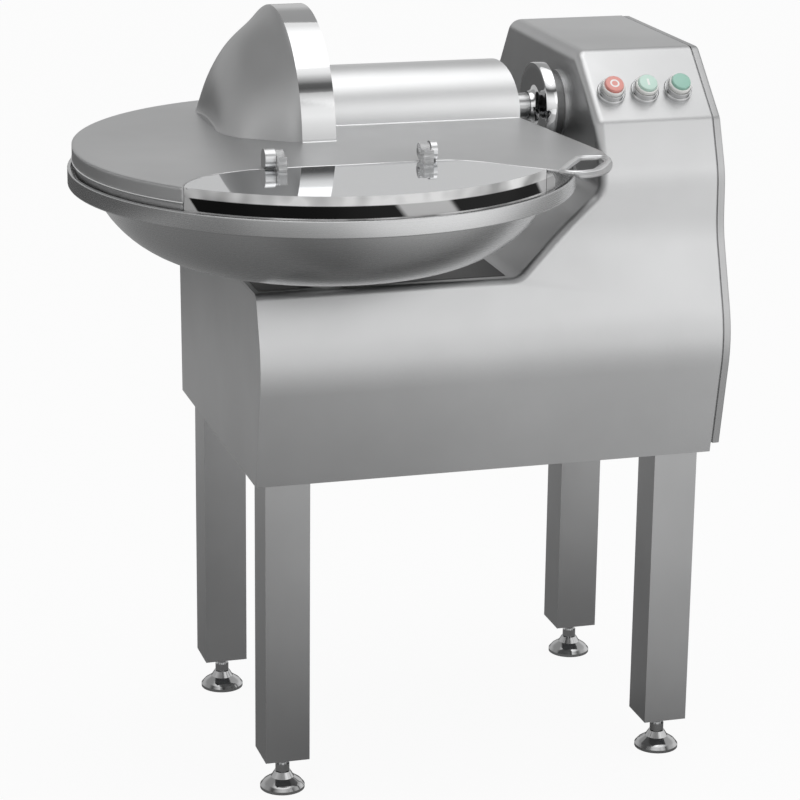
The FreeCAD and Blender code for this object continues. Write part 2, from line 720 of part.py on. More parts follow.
turned("bearing_housing", [
    ("Sizes.bearing_outer_radius", 0), ("Sizes.bearing_tube_radius", 0), ("Sizes.bearing_tube_radius", flange_low),
    ("Sizes.bearing_tube_radius + 16", flange_low), ("Sizes.bearing_tube_radius + 16", flange_low + 10),
    ("Sizes.bearing_tube_radius", flange_low + 10), ("Sizes.bearing_tube_radius", tube_length),
    ("Sizes.bearing_outer_radius", tube_length)], turned_to_x(tube_left, knife_y, knife_z))
bearing_ring = washer("Sizes.shaft_radius + Sizes.fit", "Sizes.bearing_outer_radius", 0, "Sizes.bearing_width")
pair_up("knife_bearings", bearing_ring,
        (turned_to_x(tube_left + 6, knife_y, knife_z),
         turned_to_x(tube_left + tube_length - s.bearing_width - 4, knife_y, knife_z)))

# Bowl: an annular trough round a central hub, concentric with the knives where they pass
trough = s.knife_axis_offset
inner_arc = s.knife_radius + s.knife_gap
outer_arc = inner_arc + s.bowl_wall
hub_top = knife_z - s.hub_top_drop
ledge_low = rim_top - s.rim_height
ledge_high = ledge_low + s.rim_wall


def on_arc(radius, z, side):
    return trough + side * math.sqrt(radius ** 2 - (knife_z - z) ** 2)


def rz(radius, z):
    return Vector(bowl_x + radius, bowl_y, z)


bowl_edges = [
    Part.LineSegment(rz(s.stud_bore_radius, hub_top), rz(on_arc(inner_arc, hub_top, -1), hub_top)),
    Part.Arc(rz(on_arc(inner_arc, hub_top, -1), hub_top), rz(trough, knife_z - inner_arc),
             rz(on_arc(inner_arc, ledge_high, 1), ledge_high)),
    Part.LineSegment(rz(on_arc(inner_arc, ledge_high, 1), ledge_high), rz(s.rim_radius - s.rim_wall, ledge_high)),
    Part.LineSegment(rz(s.rim_radius - s.rim_wall, ledge_high), rz(s.rim_radius - s.rim_wall, rim_top)),
    Part.LineSegment(rz(s.rim_radius - s.rim_wall, rim_top), rz(s.rim_radius, rim_top)),
    Part.LineSegment(rz(s.rim_radius, rim_top), rz(s.rim_radius, ledge_low)),
    Part.LineSegment(rz(s.rim_radius, ledge_low), rz(on_arc(outer_arc, ledge_low, 1), ledge_low)),
    Part.Arc(rz(on_arc(outer_arc, ledge_low, 1), ledge_low), rz(trough, knife_z - outer_arc),
             rz(on_arc(outer_arc, hub_top - 4, -1), hub_top - 4)),
    Part.LineSegment(rz(on_arc(outer_arc, hub_top - 4, -1), hub_top - 4), rz(s.stud_bore_radius, hub_top - 4)),
    Part.LineSegment(rz(s.stud_bore_radius, hub_top - 4), rz(s.stud_bore_radius, hub_top)),
]
bowl_wire = Part.Wire([edge.toShape() for edge in bowl_edges])
bowl = Part.Face(bowl_wire).revolve(Vector(bowl_x, bowl_y, 0), Vector(0, 0, 1), 360)
rim_edges = [edge for edge in bowl.Edges
             if edge.BoundBox.ZMin > ledge_low - 1 and edge.BoundBox.ZMax - edge.BoundBox.ZMin < 0.01
             and edge.BoundBox.XMax > bowl_x + s.rim_radius - s.rim_wall - 1]
bowl = bowl.makeFillet(s.rim_wall * 0.4, [edge for edge in rim_edges if edge.BoundBox.XMax > bowl_x + s.rim_radius - 1])
shaped("bowl", bowl)
turned("bowl_knob", [
    (0, hub_top), ("Sizes.stud_bore_radius + 5", hub_top), ("Sizes.stud_bore_radius + 5", hub_top + 6),
    ("Sizes.stud_bore_radius + 1", hub_top + 12), (0, hub_top + 13)], at(bowl_x, bowl_y, 0))
seat = hub_top - 4
carrier_gap = 3
turned("bowl_spindle", [
    (0, "Sizes.spindle_bottom"), ("Sizes.spindle_radius", "Sizes.spindle_bottom"),
    ("Sizes.spindle_radius", base_top + 6), (24, base_top + 6),
    (24, base_top + 60), (on_arc(outer_arc, base_top + 78, -1) - carrier_gap, base_top + 72),
    (on_arc(outer_arc, base_top + 78, -1) - carrier_gap, base_top + 78),
    (on_arc(outer_arc, base_top + 100, -1) - carrier_gap, base_top + 100),
    (on_arc(outer_arc, seat, -1) - 1, seat - 3), (on_arc(outer_arc, seat, -1) - 1, seat),
    ("Sizes.stud_bore_radius", seat), ("Sizes.stud_bore_radius", hub_top), (0, hub_top)],
    at(bowl_x, bowl_y, 0))

# Bowl drive: spindle housing on a gear case with worm wheel and worm
case_low = plate_z + 2
case_high = case_low + s.gear_case_height
wheel_z = (case_low + case_high) / 2
worm_y = bowl_y + s.worm_distance
turned("spindle_housing", [
    ("Sizes.spindle_radius + 10", case_high), ("Sizes.spindle_housing_radius + 14", case_high),
    ("Sizes.spindle_housing_radius + 14", case_high + 10), ("Sizes.spindle_housing_radius", case_high + 10),
    ("Sizes.spindle_housing_radius", base_top + 4), ("Sizes.spindle_radius + 10", base_top + 4)],
    at(bowl_x, bowl_y, 0))
spindle_ring = washer("Sizes.spindle_radius + Sizes.fit", "Sizes.spindle_radius + 10", 0, 15)
pair_up("spindle_bearings", spindle_ring,
        (at(bowl_x, bowl_y, base_top - 16), at(bowl_x, bowl_y, case_high + 4)))
case_x, case_wide = bowl_x - 60, 120
case_y, case_deep = bowl_y - s.wheel_radius - 7, s.wheel_radius + s.worm_distance + 30
case_outer = Part.makeBox(case_wide, case_deep, s.gear_case_height, Vector(case_x, case_y, case_low))
case_hollow = Part.makeBox(case_wide - 12, case_deep - 12, s.gear_case_height - 12,
                           Vector(case_x + 6, case_y + 6, case_low + 6))
case_shape = case_outer.cut(case_hollow)
case_shape = case_shape.cut(Part.makeCylinder(s.spindle_radius + s.fit, 200, Vector(bowl_x, bowl_y, case_low + 4)))
case_shape = case_shape.cut(Part.makeCylinder(8 + s.fit, 300, Vector(bowl_x, worm_y, wheel_z), Vector(1, 0, 0)))
shaped("gear_case", case_shape)
case_foot = block("gear_case_foot", case_wide, ring_depth, 2, at(case_x, frame_y, plate_z))
keep(case_foot, "gear_case_plate")

teeth = 40
wheel = Part.makeCylinder(s.wheel_radius, 22, Vector(bowl_x, bowl_y, wheel_z - 11))
wheel = wheel.cut(Part.makeCylinder(s.spindle_radius, 22, Vector(bowl_x, bowl_y, wheel_z - 11)))
notches = []
for number in range(teeth):
    notch = Part.makeBox(5, 3, 22, Vector(s.wheel_radius - 4, -1.5, wheel_z - 11))
    notch.rotate(Vector(), Vector(0, 0, 1), 360 / teeth * number)
    notch.translate(Vector(bowl_x, bowl_y, 0))
    notches.append(notch)
shaped("worm_wheel", wheel.cut(Part.makeCompound(notches)))
worm = Part.makeCylinder(s.worm_radius - 3, 60, Vector(bowl_x - 30, worm_y, wheel_z), Vector(1, 0, 0))
for number in range(9):
    thread = Part.makeCylinder(s.worm_radius, 2.6, Vector(bowl_x - 27.3 + 6.3 * number, worm_y, wheel_z), Vector(1, 0, 0))
    worm = worm.fuse(thread)
motor_side = case_x + case_wide
worm = worm.fuse(Part.makeCylinder(8, motor_side + 30 - bowl_x, Vector(bowl_x, worm_y, wheel_z), Vector(1, 0, 0)))
shaped("worm_shaft", worm.removeSplitter())
turned("bowl_motor", [
    ("8 + Sizes.fit", 0), ("Sizes.bowl_motor_radius * 0.8", 0), ("Sizes.bowl_motor_radius * 0.8", 8),
    ("Sizes.bowl_motor_radius", 8), ("Sizes.bowl_motor_radius", "Sizes.bowl_motor_length"),
    (0, "Sizes.bowl_motor_length"), (0, 34), ("8 + Sizes.fit", 34)],
    turned_to_x(motor_side, worm_y, wheel_z))

# Electrical box inside the head and the cable gland low on the rear
box_left = head_left + 30
electric = Part.makeBox(90, 70, 150, Vector(box_left, rear - 12 - 70, base_top + 10))
electric_hollow = Part.makeBox(86, 66, 146, Vector(box_left + 2, rear - 12 - 68, base_top + 12))
bracket = Part.makeBox(60, 30, 20, Vector(box_left + 15, rear - 12, base_top + 60))
shaped("electrical_box", electric.cut(electric_hollow).fuse(bracket.common(inside_rear)).removeSplitter())
gland_z = casing_bottom + 60
gland_y = rear - s.rear_bottom_inset * (1 - 60 / s.head_rear_fold_height)
gland = Part.makeCylinder(12, 14, Vector(casing_right - 60, gland_y + 0.6, gland_z), Vector(0, 1, 0))
gland = gland.cut(Part.makeCylinder(5, 3, Vector(casing_right - 60, gland_y + 11.6, gland_z), Vector(0, 1, 0)))
shaped("cable_gland", gland)

# Buttons on the console
bezel_parts, block_parts = [], []
for centre, name in zip(button_centres, ("stop_button", "start_button", "bowl_button")):
    ring_corners = [(s.button_stem_radius + 0.1, -15), (s.panel_hole_radius - 0.2, -15),
                    (s.panel_hole_radius - 0.2, 0), (s.bezel_radius, 0),
                    (s.bezel_radius, s.bezel_foot_height - 1), (s.bezel_radius - 1, s.bezel_foot_height),
                    (s.bezel_neck_radius, s.bezel_foot_height), (s.bezel_neck_radius, s.bezel_height - 0.5),
                    (s.bezel_neck_radius - 0.5, s.bezel_height), (s.cap_radius + 0.8, s.bezel_height),
                    (s.cap_radius + 0.8, 1.5), (s.button_stem_radius + 0.1, 1.5)]
    wire = Part.makePolygon([Vector(r, 0, z) for r, z in ring_corners + ring_corners[:1]])
    ring = Part.Face(wire).revolve(Vector(), Vector(0, 0, 1), 360)
    ring.Placement = Placement(centre, console_turn)
    bezel_parts.append(ring)
    contact = Part.makeBox(30, 30, 35, Vector(-15, -15, -50))
    contact.Placement = Placement(centre, console_turn)
    block_parts.append(contact)
    turned(name, [
        (0, -10), ("Sizes.button_stem_radius", -10), ("Sizes.button_stem_radius", "Sizes.cap_low"),
        ("Sizes.cap_radius", "Sizes.cap_low"), ("Sizes.cap_radius", "Sizes.cap_shoulder"),
        ("Sizes.cap_face_radius", "Sizes.cap_high"), (0, "Sizes.cap_high")], Placement(centre, console_turn))
shaped("button_bezels", Part.makeCompound(bezel_parts))
shaped("contact_blocks", Part.makeCompound(block_parts))

# Lid: a disc with a stepped skirt, cut off beside the head, with a slot for knives and shaft
bowl_centre = Vector(bowl_x, bowl_y, 0)


def rim_point(radius, degrees):
    turn = math.radians(degrees)
    return bowl_centre + Vector(radius * math.cos(turn), radius * math.sin(turn), 0)


def on_cut(y):
    """Point of the lid's straight right edge at a given Y."""
    turn = math.radians(s.lid_cut_angle)
    step = (y - bowl_y - s.lid_cut_distance * math.sin(turn)) / math.cos(turn)
    return rim_point(s.lid_cut_distance, s.lid_cut_angle) + rim_point(step, s.lid_cut_angle + 90) - bowl_centre


def beyond_cut(distance, degrees):
    """Everything to the right of a cut line beside the head."""
    trim = Part.makeBox(400, 800, 400, Vector(distance, -400, 0))
    trim.rotate(Vector(), Vector(0, 0, 1), degrees)
    trim.translate(Vector(bowl_x, bowl_y, lid_top - 200))
    return trim


def smooth(points):
    curve = Part.BSplineCurve()
    curve.interpolate(points)
    return curve.toShape()


chord_y = bowl_y - s.chord_distance
chord = [rim_point(s.lid_radius + 2, s.left_tip_angle)]
chord += [Vector(bowl_x + dx, chord_y + dy, 0) for dx, dy in ((-190, -26), (-150, -8), (-110, 0), (110, 0), (155, -18),
                                                              (198, -58), (228, -84.5), (246, -110))]
grip = [on_cut(bowl_y - 139)]
grip += [Vector(bowl_x + dx, bowl_y + dy, 0) for dx, dy in ((319, -176), (314, -200), (303, -226), (279, -258),
                                                            (258, -267), (226, -256))]


def flat_piece(edges, low, thickness, forward=0):
    """Plate of an outline in plan, moved forward by one amount."""
    wire = Part.Wire(edges)
    wire.translate(Vector(0, -forward, low))
    return Part.Face(wire).extrude(Vector(0, 0, thickness))


def in_front_of_chord(gap, low, thickness):
    """Everything in front of the edge between lid and window, moved forward by a gap."""
    ends = [chord[-1], Vector(bowl_x + 260, bowl_y - 500, 0), Vector(bowl_x - 400, bowl_y - 500, 0),
            Vector(bowl_x - 400, chord[0].y, 0), chord[0]]
    edges = [smooth(chord[:4]), Part.LineSegment(chord[3], chord[4]).toShape(), smooth(chord[4:])]
    edges += [Part.LineSegment(start, end).toShape() for start, end in zip(ends[:-1], ends[1:])]
    return flat_piece(edges, low, thickness, gap)


# The disc and its skirt are one pan; the handle is a flat plate
left_tip = rim_point(s.lid_radius, s.left_tip_angle)
band_low = lid_top - s.lid_skirt_drop
pan_low = band_low + s.lid_lip_height
skirt_inside = s.lid_radius - s.lid_lip_inset - s.lid_sheet
pan = Part.makeCylinder(s.lid_radius, lid_top - pan_low, Vector(bowl_x, bowl_y, pan_low))
pan = pan.cut(Part.makeCylinder(skirt_inside, lid_under - pan_low, Vector(bowl_x, bowl_y, pan_low)))
pan = pan.cut(beyond_cut(s.lid_cut_distance, s.lid_cut_angle))
inner_corners = [on_cut(bowl_y), Vector(bowl_x + 120, bowl_y - 60, 0), Vector(bowl_x + 120, bowl_y - 230, 0), grip[-1]]
handle_edges = [smooth(grip[::-1])]
handle_edges += [Part.LineSegment(start, end).toShape() for start, end in zip([grip[0]] + inner_corners[:-1], inner_corners)]
handle = flat_piece(handle_edges, lid_under, s.lid_sheet)
lip = Part.makeCylinder(s.lid_radius - s.lid_lip_inset, s.lid_lip_height, Vector(bowl_x, bowl_y, band_low))
lip = lip.cut(Part.makeCylinder(skirt_inside, 60, Vector(bowl_x, bowl_y, band_low)))
in_front = Part.makeBox(2 * total_x, total_y, lid_under - band_low, Vector(-total_x, left_tip.y - total_y, band_low))
beside_head = Part.makeBox(400, total_y, lid_under - band_low,
                           Vector(bowl_x + 60, knife_y + s.tunnel_radius - s.guard_sheet - total_y, band_low))
lid = pan.cut(in_front).cut(beside_head).fuse([handle, lip.cut(in_front).cut(beside_head)])
lid = lid.cut(in_front_of_chord(0, band_low - 1, 60))

# Slots for the knives and for the knife shaft, and the finger gap of the handle
guard_left, guard_right = guard_x - s.guard_width / 2, guard_x + s.guard_width / 2
knife_slot_half = math.sqrt((s.guard_radius - s.guard_sheet) ** 2 - (lid_top - guard_z) ** 2)
slot_left = guard_left - s.guard_taper_length * 0.55
knife_slot = Part.makeBox(guard_right - s.guard_sheet - guard_left, 2 * knife_slot_half, 2 * s.lid_sheet,
                          Vector(guard_left, knife_y - knife_slot_half, lid_under - 1))
nut_slot = Part.makeBox(guard_left - slot_left + 1, 90, 80, Vector(slot_left, knife_y - 45, lid_top - 40))
tunnel_inside = s.tunnel_radius - s.guard_sheet
shaft_slot = Part.makeBox(600, 2 * tunnel_inside, 80,
                          Vector(guard_right - s.guard_sheet - 1, knife_y - tunnel_inside, lid_top - 40))
lid = lid.cut(knife_slot).cut(nut_slot).cut(shaft_slot)
finger = [(bowl_x + dx, bowl_y + dy) for dx, dy in ((270, -242), (306, -195), (309, -172), (284, -170), (241, -231))]
finger_gap = rounded_wire(finger[::-1], [7] * 5, lambda p: Vector(p.x, p.y, lid_under - 20))
lid = lid.cut(Part.Face(finger_gap).extrude(Vector(0, 0, 60)))
shaped("lid", max(lid.Solids, key=lambda solid: solid.Volume))

# Guard over the knives: a polished band and a tapering shell on its left


def arch(x, half, height, inset):
    """Arch standing on the lid's top at one X, as a closed outline drawn in by an inset."""
    left, right = Vector(x, knife_y - half + inset, lid_top), Vector(x, knife_y + half - inset, lid_top)
    top = Vector(x, knife_y, lid_top + height - inset)
    return Part.Wire([Part.Arc(left, top, right).toShape(), Part.LineSegment(right, left).toShape()])


guard_top = guard_z + s.guard_radius - lid_top
guard_half = math.sqrt(s.guard_radius ** 2 - (lid_top - guard_z) ** 2)
inner_width = s.guard_width - s.guard_sheet
band_shape = Part.Face(arch(guard_left, guard_half, guard_top, 0)).extrude(Vector(s.guard_width, 0, 0))
band_shape = band_shape.cut(Part.Face(arch(guard_left, guard_half, guard_top, s.guard_sheet)).extrude(Vector(inner_width, 0, 0)))
tunnel_z = knife_z - s.tunnel_drop
shaft_way = Part.makeCylinder(tunnel_inside, 60, Vector(guard_right - 30, knife_y, tunnel_z), Vector(1, 0, 0))
shaft_way_low = Part.makeBox(60, 2 * tunnel_inside, 60, Vector(guard_right - 30, knife_y - tunnel_inside, tunnel_z - 60))
shaped("guard_band", band_shape.cut(shaft_way).cut(shaft_way_low))

# Each row is the share of the taper's length, of the guard's half width and of its height
taper = [(0.0, 1.0, 1.0), (0.138, 0.951, 0.926), (0.372, 0.856, 0.804), (0.595, 0.767, 0.675),
         (0.753, 0.71, 0.531), (0.882, 0.615, 0.356), (0.965, 0.507, 0.122), (1.0, 0.38, 0.04)]


def taper_solid(inset):
    sections = [arch(guard_left - 0.02 - share * (s.guard_taper_length - inset), half * guard_half, height * guard_top, inset)
                for share, half, height in taper]
    return Part.makeLoft(sections, True, False)


guard_shell = taper_solid(0).cut(taper_solid(s.guard_sheet))
shaped("guard_shell", max(guard_shell.Solids, key=lambda solid: solid.Volume))

# Half-round tunnel over the knife shaft, cut off in line with the lid's right edge
tunnel_left = guard_right
tunnel_length = on_cut(knife_y - s.tunnel_radius).x - tunnel_left + 20
tunnel_start = Vector(tunnel_left, knife_y, tunnel_z)
tunnel = Part.makeCylinder(s.tunnel_radius, tunnel_length, tunnel_start, Vector(1, 0, 0))
tunnel = tunnel.fuse(Part.makeBox(tunnel_length, 2 * s.tunnel_radius, tunnel_z - lid_top,
                                  Vector(tunnel_left, knife_y - s.tunnel_radius, lid_top)))
tunnel = tunnel.cut(Part.makeCylinder(tunnel_inside, tunnel_length, tunnel_start, Vector(1, 0, 0)))
tunnel = tunnel.cut(Part.makeBox(tunnel_length, 2 * tunnel_inside, 100,
                                 Vector(tunnel_left, knife_y - tunnel_inside, tunnel_z - 100)))
tunnel = tunnel.cut(Part.makeBox(tunnel_length, 400, 200, Vector(tunnel_left, knife_y - 200, lid_top - 200)))
shaped("shaft_tunnel", tunnel.cut(beyond_cut(s.tunnel_cut_distance, s.tunnel_cut_angle)))

# Lid hinge behind the tunnel: a post on the base, a pin and two arms on the lid
post_left = bowl_x + 120
post_low = base_top
post = Part.makeBox(s.hinge_post_width, 2 * s.hinge_eye_radius, hinge_z - post_low,
                    Vector(post_left, hinge_y - s.hinge_eye_radius, post_low))
post = post.fuse(Part.makeCylinder(s.hinge_eye_radius, s.hinge_post_width, Vector(post_left, hinge_y, hinge_z),
                                   Vector(1, 0, 0)))
arm_gap = 1.0
pin_length = s.hinge_post_width + 2 * (s.hinge_arm_width + arm_gap) + 4
pin_left = post_left - s.hinge_arm_width - arm_gap - 2
post = post.fuse(Part.makeCylinder(s.hinge_pin_radius, pin_length, Vector(pin_left, hinge_y, hinge_z), Vector(1, 0, 0)))
shaped("hinge_post", post.removeSplitter())
arms = []
arm_reach = 115
for x in (post_left - s.hinge_arm_width - arm_gap, post_left + s.hinge_post_width + arm_gap):
    arm = Part.makeBox(s.hinge_arm_width, arm_reach, 12, Vector(x, hinge_y - arm_reach, lid_top))
    eye = Part.makeCylinder(s.hinge_eye_radius, s.hinge_arm_width, Vector(x, hinge_y, hinge_z), Vector(1, 0, 0))
    neck = Part.makeBox(s.hinge_arm_width, s.hinge_eye_radius + 8, lid_top - hinge_z,
                        Vector(x, hinge_y - s.hinge_eye_radius - 8, hinge_z))
    arm = arm.fuse(eye).fuse(neck)
    arm = arm.cut(Part.makeCylinder(s.hinge_pin_radius + s.fit, s.hinge_arm_width, Vector(x, hinge_y, hinge_z),
                                    Vector(1, 0, 0)))
    arms.append(arm.removeSplitter())
shaped("lid_hinge_arms", Part.makeCompound(arms))

# Clear window in front, with a turned-down skirt and two hinge lugs
window_radius = s.lid_radius - 1
window_low = band_low + 1
window_z = lid_top - s.window_sheet


def window_blank(low, height):
    disc = Part.makeCylinder(window_radius, height, Vector(bowl_x, bowl_y, low))
    return disc.common(in_front_of_chord(s.window_gap, low, height))


plate = window_blank(window_z, s.window_sheet)
rim_ring = window_blank(window_low, window_z - window_low)
rim_ring = rim_ring.cut(Part.makeCylinder(window_radius - s.window_sheet, 100, Vector(bowl_x, bowl_y, window_low - 10)))
window_hinge_y = chord_y + 3
window_hinge_z = lid_top + s.window_boss_radius
lugs_at = ((bowl_x + s.left_lug_offset, s.left_lug_width, s.left_boss_length, -1),
           (bowl_x + s.right_lug_offset, s.right_lug_width, s.right_boss_length, 1))
lugs, bosses = [], []
for x, width, boss_length, side in lugs_at:
    middle = Vector(x, window_hinge_y, window_hinge_z)
    lug = Part.makeCylinder(s.window_boss_radius - 2, width, middle, Vector(1, 0, 0))
    foot = Part.makeBox(width, 20, window_hinge_z - lid_top + 1, Vector(x, window_hinge_y - 23, lid_top - 1))
    web = Part.makeBox(width, 23, 9, Vector(x, window_hinge_y - 23, window_hinge_z - 4))
    lugs.append(lug.fuse(foot).fuse(web))
    start = x - boss_length - 0.5 if side < 0 else x + width + 0.5
    boss = Part.makeCylinder(s.window_boss_radius, boss_length, Vector(start, middle.y, middle.z), Vector(1, 0, 0))
    stand = Part.makeBox(boss_length, s.window_boss_radius, window_hinge_z - lid_top, Vector(start, window_hinge_y, lid_top))
    pin_start = start + boss_length - 1 if side < 0 else start - width - 2
    pin = Part.makeCylinder(s.window_pin_radius, width + 3, Vector(pin_start, middle.y, middle.z), Vector(1, 0, 0))
    bosses.append(boss.fuse([stand, pin]).removeSplitter())
window = plate.fuse(rim_ring.Solids + lugs)
for x, width, boss_length, side in lugs_at:
    window = window.cut(Part.makeCylinder(s.window_pin_radius + s.fit, width, Vector(x, window_hinge_y, window_hinge_z),
                                          Vector(1, 0, 0)))
shaped("window", max(window.Solids, key=lambda solid: solid.Volume))
shaped("window_hinge_bosses", Part.makeCompound(bosses))

# Check every object, then write one file for each sub-part
doc.recompute()
faults = [obj.Label for obj in doc.Objects if "Invalid" in obj.State or "Error" in obj.State]
for obj in nodes:
    if obj.Shape.isNull() or not obj.Shape.isValid() or not obj.Shape.Solids:
        faults.append(obj.Label + " has no sound shape")
if faults:
    print("faults:", faults)
    sys.exit(1)
os.makedirs("parts", exist_ok=True)
for obj in nodes:
    obj.Shape.exportStep(os.path.join("parts", obj.Label + ".step"))
print(len(nodes), "sub-parts written")
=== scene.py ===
import json
import math

import bpy
from mathutils import Matrix, Vector


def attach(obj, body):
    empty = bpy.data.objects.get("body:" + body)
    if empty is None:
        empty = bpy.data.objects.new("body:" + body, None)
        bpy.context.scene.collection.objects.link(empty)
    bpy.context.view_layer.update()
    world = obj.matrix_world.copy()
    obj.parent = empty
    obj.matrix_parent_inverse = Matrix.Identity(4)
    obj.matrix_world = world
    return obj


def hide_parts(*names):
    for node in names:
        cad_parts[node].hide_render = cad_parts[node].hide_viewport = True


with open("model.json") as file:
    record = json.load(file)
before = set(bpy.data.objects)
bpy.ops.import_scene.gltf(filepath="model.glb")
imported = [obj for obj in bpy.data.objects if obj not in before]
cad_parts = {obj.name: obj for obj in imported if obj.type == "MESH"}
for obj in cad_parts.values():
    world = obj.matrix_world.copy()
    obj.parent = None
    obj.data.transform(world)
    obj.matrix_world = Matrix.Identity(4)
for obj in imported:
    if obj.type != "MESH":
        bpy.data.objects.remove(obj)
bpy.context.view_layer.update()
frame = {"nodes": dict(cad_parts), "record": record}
nodes = frame["nodes"]
scene = bpy.context.scene
scene.view_settings.view_transform = "Standard"

# Places on the machine, in metres
BOWL_X, BOWL_Y = -0.110, -0.054
LID_TOP = 0.885


# Shader helpers

def ramp_node(tree, source, stops):
    ramp = tree.nodes.new("ShaderNodeValToRGB")
    tree.links.new(source, ramp.inputs["Fac"])
    elements = ramp.color_ramp.elements
    while len(elements) < len(stops):
        elements.new(0.5)
    for element, (place, value) in zip(elements, stops):
        element.position = place
        element.color = (value, value, value, 1)
    return ramp.outputs["Color"]


def math_node(tree, operation, *values):
    node = tree.nodes.new("ShaderNodeMath")
    node.operation = operation
    for socket, value in zip(node.inputs, values):
        if isinstance(value, (int, float)):
            socket.default_value = value
        else:
            tree.links.new(value, socket)
    return node.outputs[0]


def along_node(tree, vector, direction):
    node = tree.nodes.new("ShaderNodeVectorMath")
    node.operation = "DOT_PRODUCT"
    tree.links.new(vector, node.inputs[0])
    node.inputs[1].default_value = direction
    return node.outputs["Value"]


def length_node(tree, vector):
    node = tree.nodes.new("ShaderNodeVectorMath")
    node.operation = "LENGTH"
    tree.links.new(vector, node.inputs[0])
    return node.outputs["Value"]


def remap_node(tree, value, low, high, to_low, to_high, smooth=False):
    node = tree.nodes.new("ShaderNodeMapRange")
    if smooth:
        node.interpolation_type = "SMOOTHSTEP"
    tree.links.new(value, node.inputs["Value"])
    for name, number in (("From Min", low), ("From Max", high), ("To Min", to_low), ("To Max", to_high)):
        node.inputs[name].default_value = number
    return node.outputs["Result"]


def mix_node(tree, share, *colours):
    """Colour between two others, each a plain colour or a socket."""
    node = tree.nodes.new("ShaderNodeMix")
    node.data_type = "RGBA"
    tree.links.new(share, node.inputs["Factor"])
    for number, colour in zip((6, 7), colours):
        if isinstance(colour, tuple):
            node.inputs[number].default_value = (*colour, 1)
        else:
            tree.links.new(colour, node.inputs[number])
    return node.outputs[2]


def noise_node(tree, vector, scale, detail=2):
    node = tree.nodes.new("ShaderNodeTexNoise")
    node.inputs["Scale"].default_value = scale
    node.inputs["Detail"].default_value = detail
    tree.links.new(vector, node.inputs["Vector"])
    return node.outputs["Fac"]


def shader_mix_node(tree, first, second, share):
    node = tree.nodes.new("ShaderNodeMixShader")
    if isinstance(share, float):
        node.inputs["Fac"].default_value = share
    else:
        tree.links.new(share, node.inputs["Fac"])
    tree.links.new(first, node.inputs[1])
    tree.links.new(second, node.inputs[2])
    return node.outputs[0]


def object_place(tree):
    return tree.nodes.new("ShaderNodeTexCoord").outputs["Object"]


def from_bowl_axis(tree, coords):
    """Distances east and north of the bowl's axis."""
    return (math_node(tree, "SUBTRACT", along_node(tree, coords, (1, 0, 0)), BOWL_X),
            math_node(tree, "SUBTRACT", along_node(tree, coords, (0, 1, 0)), BOWL_Y))


def hypot_node(tree, first, second):
    squares = [math_node(tree, "MULTIPLY", value, value) for value in (first, second)]
    return math_node(tree, "SQRT", math_node(tree, "ADD", *squares))


def relief_node(tree, height, strength, distance, shader):
    relief = tree.nodes.new("ShaderNodeBump")
    relief.inputs["Strength"].default_value = strength
    relief.inputs["Distance"].default_value = distance
    tree.links.new(height, relief.inputs["Height"])
    tree.links.new(relief.outputs["Normal"], shader.inputs["Normal"])


# Materials

def new_material(name):
    mat = bpy.data.materials.new(name)
    mat.use_nodes = True
    tree = mat.node_tree
    tree.nodes.clear()
    out = tree.nodes.new("ShaderNodeOutputMaterial")
    shader = tree.nodes.new("ShaderNodeBsdfPrincipled")
    tree.links.new(shader.outputs["BSDF"], out.inputs["Surface"])
    return mat, tree, shader


def metal(name, dark, light, rough, spread, grain, bump, stretch=(1, 1, 1)):
    """Metal with slow tone changes, fine grain in its roughness and a fine relief."""
    mat, tree, shader = new_material(name)
    coords = object_place(tree)
    tone = tree.nodes.new("ShaderNodeValToRGB")
    for element, place, colour in zip(tone.color_ramp.elements, (0.3, 0.7), (dark, light)):
        element.position = place
        element.color = (*colour, 1)
    tree.links.new(noise_node(tree, coords, BLOTCH_SCALE, 3), tone.inputs["Fac"])
    tree.links.new(tone.outputs["Color"], shader.inputs["Base Color"])
    scale = tree.nodes.new("ShaderNodeMapping")
    scale.inputs["Scale"].default_value = stretch
    tree.links.new(coords, scale.inputs["Vector"])
    fine = noise_node(tree, scale.outputs["Vector"], grain, 4)
    tree.links.new(remap_node(tree, fine, 0, 1, rough - spread, rough + spread), shader.inputs["Roughness"])
    relief_node(tree, fine, bump, METAL_RELIEF, shader)
    shader.inputs["Metallic"].default_value = 1.0
    return mat


def turned_metal(name, dark, light, rough):
    """Metal turned about the bowl's axis: fine rings in its roughness and relief."""
    mat, tree, shader = new_material(name)
    coords = object_place(tree)
    east, north = from_bowl_axis(tree, coords)
    ring = tree.nodes.new("ShaderNodeCombineXYZ")
    along_ring = math_node(tree, "MULTIPLY", math_node(tree, "ARCTAN2", north, east), RING_STRETCH)
    for socket, value in (("X", hypot_node(tree, east, north)), ("Y", along_node(tree, coords, (0, 0, 1))),
                          ("Z", along_ring)):
        tree.links.new(value, ring.inputs[socket])
    fine = noise_node(tree, ring.outputs[0], RING_GRAIN, 3)
    tone = mix_node(tree, noise_node(tree, coords, RING_BLOTCH), dark, light)
    tree.links.new(tone, shader.inputs["Base Color"])
    tree.links.new(remap_node(tree, fine, 0.3, 0.7, rough - RING_SPREAD, rough + RING_SPREAD),
                   shader.inputs["Roughness"])
    relief_node(tree, fine, RING_BUMP, PLASTIC_RELIEF, shader)
    shader.inputs["Metallic"].default_value = 1.0
    return mat


